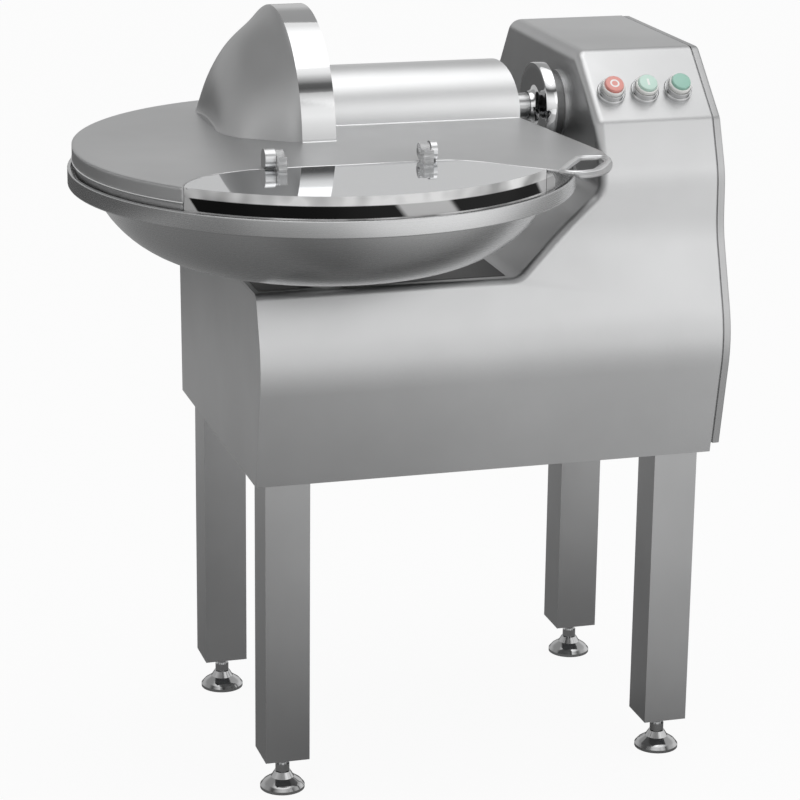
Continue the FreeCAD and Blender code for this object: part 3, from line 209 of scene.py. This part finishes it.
def plastic(name, colour, rough, coat=0.0):
    """Paint, rubber or plastic with a fine grain in its tone and relief."""
    mat, tree, shader = new_material(name)
    fine = noise_node(tree, object_place(tree), PLASTIC_GRAIN)
    tone = tree.nodes.new("ShaderNodeValToRGB")
    for element, gain in zip(tone.color_ramp.elements, PLASTIC_TONES):
        element.color = (*[min(1, part * gain) for part in colour], 1)
    tree.links.new(fine, tone.inputs["Fac"])
    tree.links.new(tone.outputs["Color"], shader.inputs["Base Color"])
    relief_node(tree, fine, PLASTIC_BUMP, PLASTIC_RELIEF, shader)
    shader.inputs["Roughness"].default_value = rough
    shader.inputs["Coat Weight"].default_value = coat
    return mat


def make_clear(shader):
    """Clear acrylic sheet."""
    shader.inputs["Base Color"].default_value = (0.93, 0.95, 0.95, 1)
    shader.inputs["Roughness"].default_value = 0.02
    shader.inputs["IOR"].default_value = 1.49
    shader.inputs["Transmission Weight"].default_value = 1.0


def grey(value):
    return (value, value * 1.005, value * 1.01)


BLOTCH_SCALE, METAL_RELIEF = 6.0, 0.0004
RING_GRAIN, RING_BLOTCH, RING_STRETCH, RING_SPREAD, RING_BUMP = 900, 5, 0.004, 0.02, 0.008
PLASTIC_GRAIN, PLASTIC_TONES, PLASTIC_BUMP, PLASTIC_RELIEF = 900.0, (0.93, 1.07), 0.05, 0.0003

# Each metal: darker and lighter tone, roughness and its spread, grain, relief
satin = metal("satin_steel", grey(0.60), grey(0.66), 0.40, 0.05, 1400, 0.10)
lid_satin = metal("lid_steel", grey(0.56), grey(0.62), 0.40, 0.05, 1400, 0.10)
leg_satin = metal("leg_steel", grey(0.54), grey(0.60), 0.36, 0.06, 900, 0.08, stretch=(1, 1, 0.04))
bowl_satin = turned_metal("bowl_steel", grey(0.56), grey(0.64), 0.27)
polished = metal("polished_steel", grey(0.74), grey(0.80), 0.07, 0.03, 300, 0.02)
foot_polish = metal("foot_steel", grey(0.55), grey(0.62), 0.10, 0.03, 300, 0.02)
machined = metal("machined_steel", grey(0.50), grey(0.58), 0.24, 0.05, 600, 0.05, stretch=(6, 0.4, 0.4))
blade_steel = metal("blade_steel", grey(0.62), grey(0.70), 0.20, 0.05, 500, 0.05)
# The shaft tunnel's steel is a lighter copy of the satin steel: painted light
lit_tunnel_satin = metal("tunnel_steel", grey(0.74), grey(0.80), 0.42, 0.05, 1400, 0.10)
# The right side cover's steel is a darker copy of the satin steel: painted shade
shaded_cover_satin = metal("cover_steel", grey(0.47), grey(0.53), 0.40, 0.05, 1400, 0.10)
handle_satin = metal("handle_steel", grey(0.68), grey(0.75), 0.30, 0.05, 900, 0.05)
hinge_metal = metal("hinge_steel", grey(0.70), grey(0.78), 0.30, 0.04, 600, 0.02)
# Darker steel for the hinge bosses' ends: painted shade
shaded_boss_end_metal = metal("boss_end_steel", grey(0.30), grey(0.36), 0.35, 0.05, 900, 0.05)
# The bezels' steel is a darker copy of the polished steel: painted shade standing in for dark reflections
shaded_bezel_metal = metal("bezel_steel", grey(0.48), grey(0.56), 0.14, 0.04, 600, 0.03)
# Near-black steel for the painted-shade sheet under the bowl
painted_shade_satin = metal("shaded_steel", grey(0.07), grey(0.10), 0.42, 0.05, 900, 0.06)
band_polish = metal("band_steel", grey(0.68), grey(0.73), 0.07, 0.03, 300, 0.02)
# The guard shell's steel is a darker copy of the satin steel: painted shade
shaded_shell_satin = metal("shell_steel", grey(0.47), grey(0.54), 0.38, 0.05, 1400, 0.10)
# Lighter metal for the thin bars along edges: painted highlight
highlight_bead_metal = metal("bead_steel", grey(0.84), grey(0.90), 0.22, 0.05, 900, 0.05)
cast = metal("cast_grey", grey(0.28), grey(0.34), 0.55, 0.08, 300, 0.4)
bronze = metal("bronze", (0.66, 0.45, 0.22), (0.74, 0.54, 0.30), 0.30, 0.05, 500, 0.05)
frame_paint = plastic("frame_steel", (0.30, 0.31, 0.32), 0.5)
motor_paint = plastic("motor_paint", (0.26, 0.29, 0.31), 0.35)
rubber = plastic("belt_rubber", (0.03, 0.03, 0.03), 0.65)
black = plastic("black_plastic", (0.04, 0.04, 0.04), 0.45)
red = plastic("red_plastic", (0.60, 0.14, 0.11), 0.35)
pale_green = plastic("pale_green_plastic", (0.38, 0.60, 0.46), 0.35)
green = plastic("green_plastic", (0.15, 0.38, 0.26), 0.35)
boot = plastic("boot_plastic", (0.86, 0.86, 0.84), 0.25, coat=0.5)
lug_plastic = plastic("lug_plastic", grey(0.80), 0.10, coat=0.5)
lug_plastic.node_tree.nodes["Principled BSDF"].inputs["Transmission Weight"].default_value = 0.5
clear, _, clear_shader = new_material("clear_plastic")
make_clear(clear_shader)

# The lid's bends look rounded
LID_BEND = 0.006
tree = lid_satin.node_tree
rounding = tree.nodes.new("ShaderNodeBevel")
rounding.samples = 6
rounding.inputs["Radius"].default_value = LID_BEND
lid_relief = next(node for node in tree.nodes if node.type == "BUMP")
tree.links.new(rounding.outputs["Normal"], lid_relief.inputs["Normal"])

# The window's top is mirror-like with a little of the clear sheet in it
PANE_SHARE = 0.09
window_top, tree, mirror = new_material("window_top")
mirror.inputs["Base Color"].default_value = (0.80, 0.81, 0.82, 1)
mirror.inputs["Metallic"].default_value = 1.0
mirror.inputs["Roughness"].default_value = 0.03
pane = tree.nodes.new("ShaderNodeBsdfPrincipled")
make_clear(pane)
surface = next(node for node in tree.nodes if node.type == "OUTPUT_MATERIAL").inputs["Surface"]
tree.links.new(shader_mix_node(tree, mirror.outputs["BSDF"], pane.outputs["BSDF"], PANE_SHARE), surface)

# The window's skirt has painted light in its colour: a painted highlight along its bright bent edge, and
# below it a black band with two grey patches, which are painted reflections
BAND_TOP, BAND_FOOT = (0.8738, 0.8728), (0.8578, 0.8586)
SKIRT_LEAN, SLANT_LOW, SLANT_HIGH = 2.5, -0.6, 1.6
SKIRT_REFLECTION_STOPS = ((0.0, 0.55), (0.197, 0.55), (0.199, 0.004), (0.556, 0.004), (0.566, 0.58), (0.655, 0.58),
               (0.665, 0.004), (0.869, 0.004), (0.879, 0.6))
EDGE_HIGHLIGHT_STREAKS, EDGE_HIGHLIGHT_STOPS = 26, ((0.35, 0.42), (0.5, 0.72), (0.62, 0.95))
window_side_painted, tree, shader = new_material("window_side_painted")
coords = object_place(tree)
height = along_node(tree, coords, (0, 0, 1))
east, north = from_bowl_axis(tree, coords)
slanted = math_node(tree, "ADD", math_node(tree, "ARCTAN2", north, east),
                    math_node(tree, "MULTIPLY", height, SKIRT_LEAN))
patches = ramp_node(tree, remap_node(tree, slanted, SLANT_LOW, SLANT_HIGH, 0, 1), SKIRT_REFLECTION_STOPS)
painted_edge_highlight = ramp_node(tree, noise_node(tree, coords, EDGE_HIGHLIGHT_STREAKS, 1), EDGE_HIGHLIGHT_STOPS)
in_band = math_node(tree, "MULTIPLY", remap_node(tree, height, *BAND_TOP, 0, 1),
                    remap_node(tree, height, *BAND_FOOT, 0, 1))
# Skirt colour: painted highlight streaks in the top band, painted reflections below it
tree.links.new(mix_node(tree, in_band, painted_edge_highlight, patches), shader.inputs["Base Color"])
shader.inputs["Roughness"].default_value = 0.12
shader.inputs["Specular IOR Level"].default_value = 0.15

by_slot = {
    "satin_steel": satin, "lid_steel": lid_satin, "leg_steel": leg_satin, "bowl_steel": bowl_satin,
    "polished_steel": polished, "foot_steel": foot_polish, "machined_steel": machined,
    "blade_steel": blade_steel, "bearing_steel": polished, "frame_steel": frame_paint,
    "motor_paint": motor_paint, "cast_grey": cast, "bronze": bronze, "belt_rubber": rubber,
    "seal_rubber": rubber, "black_plastic": black, "clear_plastic": clear, "red_plastic": red,
    "pale_green_plastic": pale_green, "green_plastic": green,
}
by_node = {
    "guard_shell": shaded_shell_satin, "guard_band": band_polish, "shaft_tunnel": lit_tunnel_satin,
    "right_side_cover": shaded_cover_satin, "button_bezels": shaded_bezel_metal, "window_hinge_bosses": hinge_metal,
}


# The solids' own meshes

def split_edges(obj, degrees):
    split = obj.modifiers.new("split", "EDGE_SPLIT")
    split.split_angle = math.radians(degrees)


def shade_smooth(obj, degrees):
    """Smooth shading between faces that meet at less than an angle; the vertices stay as they are."""
    normals = obj.data.attributes.get("custom_normal")
    if normals:
        obj.data.attributes.remove(normals)
    obj.data.polygons.foreach_set("use_smooth", [True] * len(obj.data.polygons))
    weld = obj.modifiers.new("weld", "WELD")
    weld.merge_threshold = 1e-5
    split_edges(obj, degrees)


# Small round parts have facets that meet at a wider angle
USUAL_ANGLE, ROUND_ANGLE = 24, 48
ROUND_NODES = ("window_hinge_bosses", "shaft_flange", "knife_shaft")
for part in frame["record"]["subparts"]:
    obj = nodes[part["node"]]
    obj.data.materials.clear()
    obj.data.materials.append(by_node.get(part["node"], by_slot[part["material_slot"]]))
    shade_smooth(obj, ROUND_ANGLE if part["node"] in ROUND_NODES else USUAL_ANGLE)

# Window: its upper side, the outside of its skirt, and the lugs that stand above it
WINDOW_TOP_LOW, WINDOW_TOP_HIGH = LID_TOP - 0.001, LID_TOP + 0.0001
SKIRT_FROM_AXIS = 0.3118
LUGS_ABOVE = LID_TOP + 0.0006
window = nodes["window"]
for material in (window_top, window_side_painted, lug_plastic):
    window.data.materials.append(material)
for face in window.data.polygons:
    from_axis = math.hypot(face.center.x - BOWL_X, face.center.y - BOWL_Y)
    if face.normal.z > 0.9 and WINDOW_TOP_LOW < face.center.z < WINDOW_TOP_HIGH:
        face.material_index = 1
    elif abs(face.normal.z) < 0.3 and from_axis > SKIRT_FROM_AXIS and face.center.z < LID_TOP:
        face.material_index = 2
    elif face.center.z > LUGS_ABOVE:
        face.material_index = 3

# The ends of the hinge bosses are darker than their round sides: painted shade
bosses = nodes["window_hinge_bosses"]
bosses.data.materials.append(shaded_boss_end_metal)
for face in bosses.data.polygons:
    face.material_index = 1 if abs(face.normal.x) > 0.9 else 0


# Pieces made here

def mesh_piece(name, verts, faces, material, body, degrees=35):
    mesh = bpy.data.meshes.new(name)
    mesh.from_pydata(verts, [], faces)
    mesh.update()
    mesh.materials.append(material)
    obj = bpy.data.objects.new(name, mesh)
    scene.collection.objects.link(obj)
    mesh.polygons.foreach_set("use_smooth", [True] * len(mesh.polygons))
    split_edges(obj, degrees)
    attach(obj, body)
    return obj


def rounded_profile(points, radii, steps=6):
    """Open profile with its corners rounded."""
    result = []
    for i, point in enumerate(points):
        here = Vector(point)
        radius = radii[i]
        if radius <= 0 or i in (0, len(points) - 1):
            result.append(tuple(here))
            continue
        before, after = Vector(points[i - 1]) - here, Vector(points[i + 1]) - here
        half = before.angle(after) / 2
        back = min(radius / math.tan(half), 0.49 * before.length, 0.49 * after.length)
        start, end = here + before.normalized() * back, here + after.normalized() * back
        for step in range(steps + 1):
            share = step / steps
            result.append(tuple(start.lerp(here, share).lerp(here.lerp(end, share), share)))
    return result


def lathe(name, profile, place, material, body, count=72):
    """Turned piece; profile holds (radius, height) pairs."""
    verts, faces = [], []
    rings = []
    for radius, height in profile:
        if radius < 1e-7:
            rings.append([len(verts)])
            verts.append(place @ Vector((0, 0, height)))
        else:
            rings.append(list(range(len(verts), len(verts) + count)))
            for k in range(count):
                turn = 2 * math.pi * k / count
                verts.append(place @ Vector((radius * math.cos(turn), radius * math.sin(turn), height)))
    for low, high in zip(rings[:-1], rings[1:]):
        for k in range(count):
            j = (k + 1) % count
            if len(low) == 1:
                faces.append((low[0], high[j], high[k]))
            elif len(high) == 1:
                faces.append((low[k], low[j], high[0]))
            else:
                faces.append((low[k], low[j], high[j], high[k]))
    return mesh_piece(name, verts, faces, material, body)


# Push buttons: a coloured cap with its sign, in a white boot.
# The console slopes up from its lower fold, and the buttons stand square to it.
slope = Vector((0, 0.087, 0.079)).normalized()
outward = Vector((0, -slope.z, slope.y))
fold = Vector((0, -0.051, 0.892))
console = Matrix((Vector((1, 0, 0)), slope, outward)).transposed().to_4x4()
UP_SLOPE = 0.045
STEM_RADIUS, STEM_FOOT = 0.008, -0.010
CAP_RADIUS, CAP_FOOT, CAP_TOP, CAP_EDGE = 0.0124, 0.0100, 0.0222, 0.0016
CAP_FACE = (0.0180, 0.0192)
BOOT_INSIDE, BOOT_CREST, BOOT_OUTSIDE = 0.0125, 0.0137, 0.0150
BOOT_FOOT, BOOT_SHOULDER, BOOT_TOP, BOOT_LIP = 0.0085, 0.0172, 0.0184, 0.0176
RING_RADIUS, RING_EDGE = 0.0051, (0.0009, 0.0014)
STROKE_WIDTH, STROKE_LENGTH = (0.0013, 0.0017), (0.0048, 0.0052)
SIGN_COLOUR = (0.92, 0.92, 0.90)


def button_material(name, top, side, centre, sign):
    """Cap with a paler top, which is a painted highlight, and the sign O, I or none on it."""
    mat, tree, shader = new_material(name)
    coords = object_place(tree)
    across, along, out = (
        math_node(tree, "SUBTRACT", along_node(tree, coords, tuple(axis)), centre.dot(axis))
        for axis in (Vector((1, 0, 0)), slope, outward))
    on_top = remap_node(tree, out, *CAP_FACE, 0, 1)
    # The cap's top face takes the paler colour: painted highlight
    colour = mix_node(tree, on_top, side, top)
    if sign == "O":
        from_ring = math_node(tree, "SUBTRACT", hypot_node(tree, across, along), RING_RADIUS)
        mark = remap_node(tree, math_node(tree, "ABSOLUTE", from_ring), *RING_EDGE, 1, 0)
    elif sign == "I":
        mark = math_node(tree, "MULTIPLY",
                         remap_node(tree, math_node(tree, "ABSOLUTE", across), *STROKE_WIDTH, 1, 0),
                         remap_node(tree, math_node(tree, "ABSOLUTE", along), *STROKE_LENGTH, 1, 0))
    if sign:
        colour = mix_node(tree, math_node(tree, "MULTIPLY", mark, on_top), colour, SIGN_COLOUR)
    tree.links.new(colour, shader.inputs["Base Color"])
    shader.inputs["Roughness"].default_value = 0.3
    shader.inputs["Coat Weight"].default_value = 0.4
    return mat


cap_profile = rounded_profile(
    [(0, STEM_FOOT), (STEM_RADIUS, STEM_FOOT), (STEM_RADIUS, CAP_FOOT), (CAP_RADIUS, CAP_FOOT),
     (CAP_RADIUS, CAP_TOP), (0, CAP_TOP)], [0, 0, 0, 0, CAP_EDGE, 0])
boot_profile = rounded_profile(
    [(BOOT_INSIDE, BOOT_FOOT), (BOOT_OUTSIDE, BOOT_FOOT), (BOOT_OUTSIDE, BOOT_SHOULDER),
     (BOOT_CREST, BOOT_TOP), (BOOT_INSIDE, BOOT_LIP)], [0, 0.0004, 0.0006, 0.0006, 0])
# Each button's paler top colour is a painted highlight
for x, key, node, slot_name, sign, top, side in (
        (0.2875, "stop_key", "stop_button", "red_plastic", "O", (0.80, 0.33, 0.29), (0.62, 0.16, 0.13)),
        (0.3340, "start_key", "start_button", "pale_green_plastic", "I",
         (0.60, 0.80, 0.71), (0.42, 0.66, 0.56)),
        (0.3805, "bowl_key", "bowl_button", "green_plastic", "", (0.34, 0.60, 0.50), (0.26, 0.50, 0.41))):
    centre = Vector((x, fold.y, fold.z)) + slope * UP_SLOPE
    place = Matrix.Translation(centre) @ console
    cap_material = button_material(node + "_cap", top, side, centre, sign)
    cap = lathe(node + "_cap", cap_profile, place, cap_material, key)
    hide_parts(node)
    ring = lathe(node + "_boot", boot_profile, place, boot, key)


# Rounded rim of the handle, and thin round bars along the lid's cut edge, the feet of the tunnel and guard
# band and the skirt's step; the bars' lighter metal is a painted highlight on those edges

def spline(points, steps=12, closed=False):
    """Smooth line through the points."""
    count = len(points)
    result = []
    for i in range(count if closed else count - 1):
        if closed:
            p0, p1, p2, p3 = (points[(i + k) % count] for k in (-1, 0, 1, 2))
        else:
            p0, p1, p2, p3 = (points[min(max(i + k, 0), count - 1)] for k in (-1, 0, 1, 2))
        for step in range(steps):
            u = step / steps
            result.append(0.5 * (2 * p1 + (p2 - p0) * u + (2 * p0 - 5 * p1 + 4 * p2 - p3) * u * u
                                 + (3 * p1 - p0 - 3 * p2 + p3) * u ** 3))
    if not closed:
        result.append(points[-1])
    return result


def tube(name, points, radius, material, body, closed=False, sides=12):
    """Round bar along a line of points."""
    verts, faces = [], []
    count = len(points)
    for i, point in enumerate(points):
        before = points[i - 1] if i or closed else point
        after = points[(i + 1) % count] if i < count - 1 or closed else point
        ahead_here = (after - before).normalized()
        flat = ahead_here.cross(Vector((0, 0, 1)))
        flat = flat.normalized() if flat.length > 1e-6 else Vector((1, 0, 0))
        rise = flat.cross(ahead_here)
        for k in range(sides):
            turn = 2 * math.pi * k / sides
            verts.append(point + flat * radius * math.cos(turn) + rise * radius * math.sin(turn))
    for i in range(count if closed else count - 1):
        j = (i + 1) % count
        for k in range(sides):
            m = (k + 1) % sides
            faces.append((i * sides + k, i * sides + m, j * sides + m, j * sides + k))
    if not closed:
        faces.append(tuple(range(sides)))
        faces.append(tuple(reversed(range((count - 1) * sides, count * sides))))
    mesh_piece(name, verts, faces, material, body)


def round_bowl(radius, azimuth, height):
    """Point at a distance and an angle from the bowl's axis."""
    return Vector((BOWL_X + radius * math.cos(azimuth), BOWL_Y + radius * math.sin(azimuth), height))


def on_lid(points):
    """Points in millimetres from the bowl's axis, a little below the lid's top."""
    return [Vector((BOWL_X + x / 1000, BOWL_Y + y / 1000, LID_TOP - 0.0008)) for x, y in points]


LID_CUT = ((-222, -222), (-190, -167), (-150, -149), (-110, -141), (0, -141), (110, -141), (155, -159),
           (198, -199), (228, -225.5), (246, -251))
HANDLE_LOOP = ((262, -246.5), (284, -236), (308, -200), (315, -183), (312, -170), (300, -166.5),
               (283, -166.5), (272, -178), (240, -227), (238, -238), (246, -245))
TUNNEL_FOOT_Y, TUNNEL_FROM_X, TUNNEL_TO_X = 0.0345, -0.0925, 0.180
BAND_FOOT_Y, BAND_FROM_X, BAND_TO_X = -0.0580, -0.137, -0.093
SKIRT_STEP_RADIUS, SKIRT_STEP_HEIGHT = 0.3142, 0.8663
tube("lid_edge_bead", spline(on_lid(LID_CUT)), 0.0010, highlight_bead_metal, "lid_unit")
tube("handle_rim", spline(on_lid(HANDLE_LOOP), 8, True), 0.0034, handle_satin, "lid_unit", True)
for name, from_x, to_x, y, radius in (("tunnel_bead", TUNNEL_FROM_X, TUNNEL_TO_X, TUNNEL_FOOT_Y, 0.0013),
                                      ("band_bead", BAND_FROM_X, BAND_TO_X, BAND_FOOT_Y, 0.0012)):
    ends = [Vector((from_x, y, LID_TOP)), Vector((to_x, y, LID_TOP))]
    tube(name, spline(ends, 4), radius, highlight_bead_metal, "lid_unit")
step_line = [round_bowl(SKIRT_STEP_RADIUS, math.radians(angle), SKIRT_STEP_HEIGHT)
             for angle in range(100, 225, 2)]
tube("skirt_step_bead", step_line, 0.0009, highlight_bead_metal, "lid_unit", sides=8)

# Painted shade: a near-black sheet on the base's top, under the bowl, standing in for the shade in the gap
# there; the machine has no such sheet
SHEET_CORNERS = ((-0.200, -0.078), (0.128, -0.078), (0.128, 0.300), (-0.200, 0.300))
SHEET_LEVELS = (0.7021, 0.7026)
sheet_verts = [(x, y, z) for z in SHEET_LEVELS for x, y in SHEET_CORNERS]
sheet_faces = [(3, 2, 1, 0), (4, 5, 6, 7), (0, 1, 5, 4), (1, 2, 6, 5), (2, 3, 7, 6), (3, 0, 4, 7)]
mesh_piece("painted_shade_sheet", sheet_verts, sheet_faces, painted_shade_satin, "stand")

# Catch under the lid's edge at the window's right end: an arched bar of five sides that sinks to the right
CATCH_FROM, CATCH_SWEEP, CATCH_STEPS = -44.4, 4.9, 12
CATCH_INSIDE, CATCH_CREST, CATCH_OUTSIDE = 0.3075, 0.3105, 0.3125
CATCH_FOOT, CATCH_TOP, CATCH_CHAMFER = 0.8535, 0.8795, 0.002
FOOT_RISE, TOP_DROP = 0.004, 0.011
catch_verts, catch_faces = [], []
for step in range(CATCH_STEPS + 1):
    share = step / CATCH_STEPS
    azimuth = math.radians(CATCH_FROM + CATCH_SWEEP * share)
    low, high = CATCH_FOOT + FOOT_RISE * share ** 3, CATCH_TOP - TOP_DROP * share ** 3
    for radius, z in ((CATCH_INSIDE, low), (CATCH_OUTSIDE, low), (CATCH_OUTSIDE, high - CATCH_CHAMFER),
                      (CATCH_CREST, high), (CATCH_INSIDE, high)):
        catch_verts.append(round_bowl(radius, azimuth, z))
for step in range(CATCH_STEPS):
    for k in range(5):
        m = (k + 1) % 5
        catch_faces.append((step * 5 + k, step * 5 + m, step * 5 + 5 + m, step * 5 + 5 + k))
catch_faces += [tuple(range(5)), tuple(reversed(range(CATCH_STEPS * 5, CATCH_STEPS * 5 + 5)))]
# The catch takes the skirt's material, so it carries the same painted highlight and painted reflections
mesh_piece("window_catch", catch_verts, catch_faces, window_side_painted, "lid_unit")

# Camera at the photograph's place; its focal length is in the photograph's pixels
CAMERA_PLACE = (-1.007, -3.452, 1.614)
YAW, PITCH, ROLL = math.radians(16.44), math.radians(16.91), math.radians(0.69)
FOCAL_PIXELS, PHOTO_WIDTH, SENSOR = 2840, 800, 36
ahead = Vector((math.sin(YAW) * math.cos(PITCH), math.cos(YAW) * math.cos(PITCH), -math.sin(PITCH)))
level = Vector((math.cos(YAW), -math.sin(YAW), 0))
above = level.cross(ahead)
right = level * math.cos(ROLL) + above * math.sin(ROLL)
up = above * math.cos(ROLL) - level * math.sin(ROLL)
camera_data = bpy.data.cameras.new("camera")
camera_data.sensor_width = SENSOR
camera_data.lens = SENSOR * FOCAL_PIXELS / PHOTO_WIDTH
camera_data.clip_end = 50
camera = bpy.data.objects.new("camera", camera_data)
scene.collection.objects.link(camera)
camera.matrix_world = Matrix.Translation(CAMERA_PLACE) @ Matrix((right, up, -ahead)).transposed().to_4x4()
scene.camera = camera

# Floor tones that reflections see: by the distance towards the light side, by the turn from it, and by the
# distance from the object, darker near it as painted shade for the object's shadow
LIGHT_SIDE = (0.6, -0.8, 0)
FLOOR_FROM, FLOOR_TO = -3.5, 4.0
FLOOR_TONES = ((-3.5, 0.12), (-2.6, 0.16), (-2.15, 0.54), (-1.6, 0.40), (-1.2, 0.28), (-0.5, 0.25),
               (0.2, 0.30), (0.4, 0.36), (0.7, 0.48), (0.85, 0.54), (1.0, 0.61), (1.6, 0.60), (2.2, 0.62),
               (2.5, 0.68), (2.8, 1.0), (3.1, 1.3))
FLOOR_TURNS = ((0.0, 1.0), (0.2, 0.75), (0.34, 0.50), (0.69, 0.50), (0.9, 0.93), (1.0, 1.05))
FLOOR_NEAR_SHADE = ((0.0, 0.65), (0.25, 0.70), (0.42, 0.88), (0.55, 1.0))
NEAR_REACH = 2.0
FLOOR_HALF, PALE_GLOW, FLOOR_GLOW = 30, 0.93, 0.65

# Studio tones by the height of the direction, in front of the object and behind it
FRONT_STOPS = ((0.0, 0.56), (0.20, 0.68), (0.32, 0.80), (0.44, 0.76), (0.54, 0.52), (0.60, 0.33),
               (0.645, 0.20), (0.69, 0.08), (0.74, 0.10), (0.80, 0.45), (0.84, 0.78), (0.90, 1.0))
BACK_STOPS = ((0.0, 0.68), (0.30, 0.70), (0.50, 0.44), (0.85, 0.38), (0.94, 0.85), (1.0, 1.0))
TO_FRONT, FRONT_FROM, FRONT_TO = (-0.283, -0.959, 0), -0.15, 0.35
SIDE_DIM, SIDE_GAIN, STUDIO_GAIN = 0.65, 1.25, 1.2


def seen_directly(tree):
    """One for rays from the camera and through clear pieces."""
    path = tree.nodes.new("ShaderNodeLightPath")
    return math_node(tree, "MAXIMUM", path.outputs["Is Camera Ray"], path.outputs["Is Transmission Ray"])


# Floor: plain and pale to the camera; reflections see it darker at the left and behind
floor_mesh = bpy.data.meshes.new("floor")
floor_corners = [(x * FLOOR_HALF, y * FLOOR_HALF, 0) for x, y in ((-1, -1), (1, -1), (1, 1), (-1, 1))]
floor_mesh.from_pydata(floor_corners, [], [(0, 1, 2, 3)])
floor = bpy.data.objects.new("floor", floor_mesh)
scene.collection.objects.link(floor)
floor_material = bpy.data.materials.new("floor")
floor_material.use_nodes = True
tree = floor_material.node_tree
tree.nodes.clear()
out = tree.nodes.new("ShaderNodeOutputMaterial")
seen_floor = tree.nodes.new("ShaderNodeBsdfDiffuse")
seen_floor.inputs["Color"].default_value = (0.85, 0.85, 0.85, 1)
seen_glow = tree.nodes.new("ShaderNodeEmission")
pale = shader_mix_node(tree, seen_floor.outputs[0], seen_glow.outputs[0], PALE_GLOW)
coords = object_place(tree)
from_middle = length_node(tree, coords)
towards_light = along_node(tree, coords, LIGHT_SIDE)
floor_stops = [((place - FLOOR_FROM) / (FLOOR_TO - FLOOR_FROM), value) for place, value in FLOOR_TONES]
tone = ramp_node(tree, remap_node(tree, towards_light, FLOOR_FROM, FLOOR_TO, 0, 1), floor_stops)
turn_share = ramp_node(tree, math_node(tree, "DIVIDE", towards_light, from_middle), FLOOR_TURNS)
# Darker glow near the object: painted shade
painted_near_shade = ramp_node(tree, math_node(tree, "DIVIDE", from_middle, NEAR_REACH), FLOOR_NEAR_SHADE)
reflected_floor = tree.nodes.new("ShaderNodeBsdfDiffuse")
tree.links.new(tone, reflected_floor.inputs["Color"])
floor_glow = tree.nodes.new("ShaderNodeEmission")
tree.links.new(tone, floor_glow.inputs["Color"])
tree.links.new(math_node(tree, "MULTIPLY", turn_share, painted_near_shade), floor_glow.inputs["Strength"])
half_lit = shader_mix_node(tree, reflected_floor.outputs[0], floor_glow.outputs[0], FLOOR_GLOW)
tree.links.new(shader_mix_node(tree, half_lit, pale, seen_directly(tree)), out.inputs["Surface"])
floor_mesh.materials.append(floor_material)

# World: white behind the object, a soft studio round it with its light side in front at the right
world = bpy.data.worlds.new("studio")
scene.world = world
world.use_nodes = True
tree = world.node_tree
tree.nodes.clear()
out = tree.nodes.new("ShaderNodeOutputWorld")
white = tree.nodes.new("ShaderNodeBackground")
white.inputs["Color"].default_value = (1, 1, 1, 1)
studio = tree.nodes.new("ShaderNodeBackground")
direction = tree.nodes.new("ShaderNodeTexCoord").outputs["Generated"]
height = along_node(tree, direction, (0, 0, 1))
front = remap_node(tree, along_node(tree, direction, TO_FRONT), FRONT_FROM, FRONT_TO, 0, 1, True)
studio_tone = mix_node(tree, front, ramp_node(tree, height, BACK_STOPS), ramp_node(tree, height, FRONT_STOPS))
side = remap_node(tree, along_node(tree, direction, LIGHT_SIDE), -1, 1, SIDE_DIM, SIDE_GAIN)
tree.links.new(studio_tone, studio.inputs["Color"])
tree.links.new(math_node(tree, "MULTIPLY", side, STUDIO_GAIN), studio.inputs["Strength"])
tree.links.new(shader_mix_node(tree, studio.outputs[0], white.outputs[0], seen_directly(tree)),
               out.inputs["Surface"])


def softbox(name, place, aim, size, watts):
    data = bpy.data.lights.new(name, "AREA")
    data.shape = "RECTANGLE"
    data.size, data.size_y = size, size
    data.energy = watts
    lamp = bpy.data.objects.new(name, data)
    scene.collection.objects.link(lamp)
    lamp.location = place
    lamp.rotation_euler = (Vector(aim) - Vector(place)).to_track_quat("-Z", "Y").to_euler()


softbox("key", (1.6, -2.6, 2.4), (0.2, 0, 0.8), 1.8, 4)
softbox("top", (0.2, 0.2, 3.2), (0, 0, 0.9), 2.2, 10)
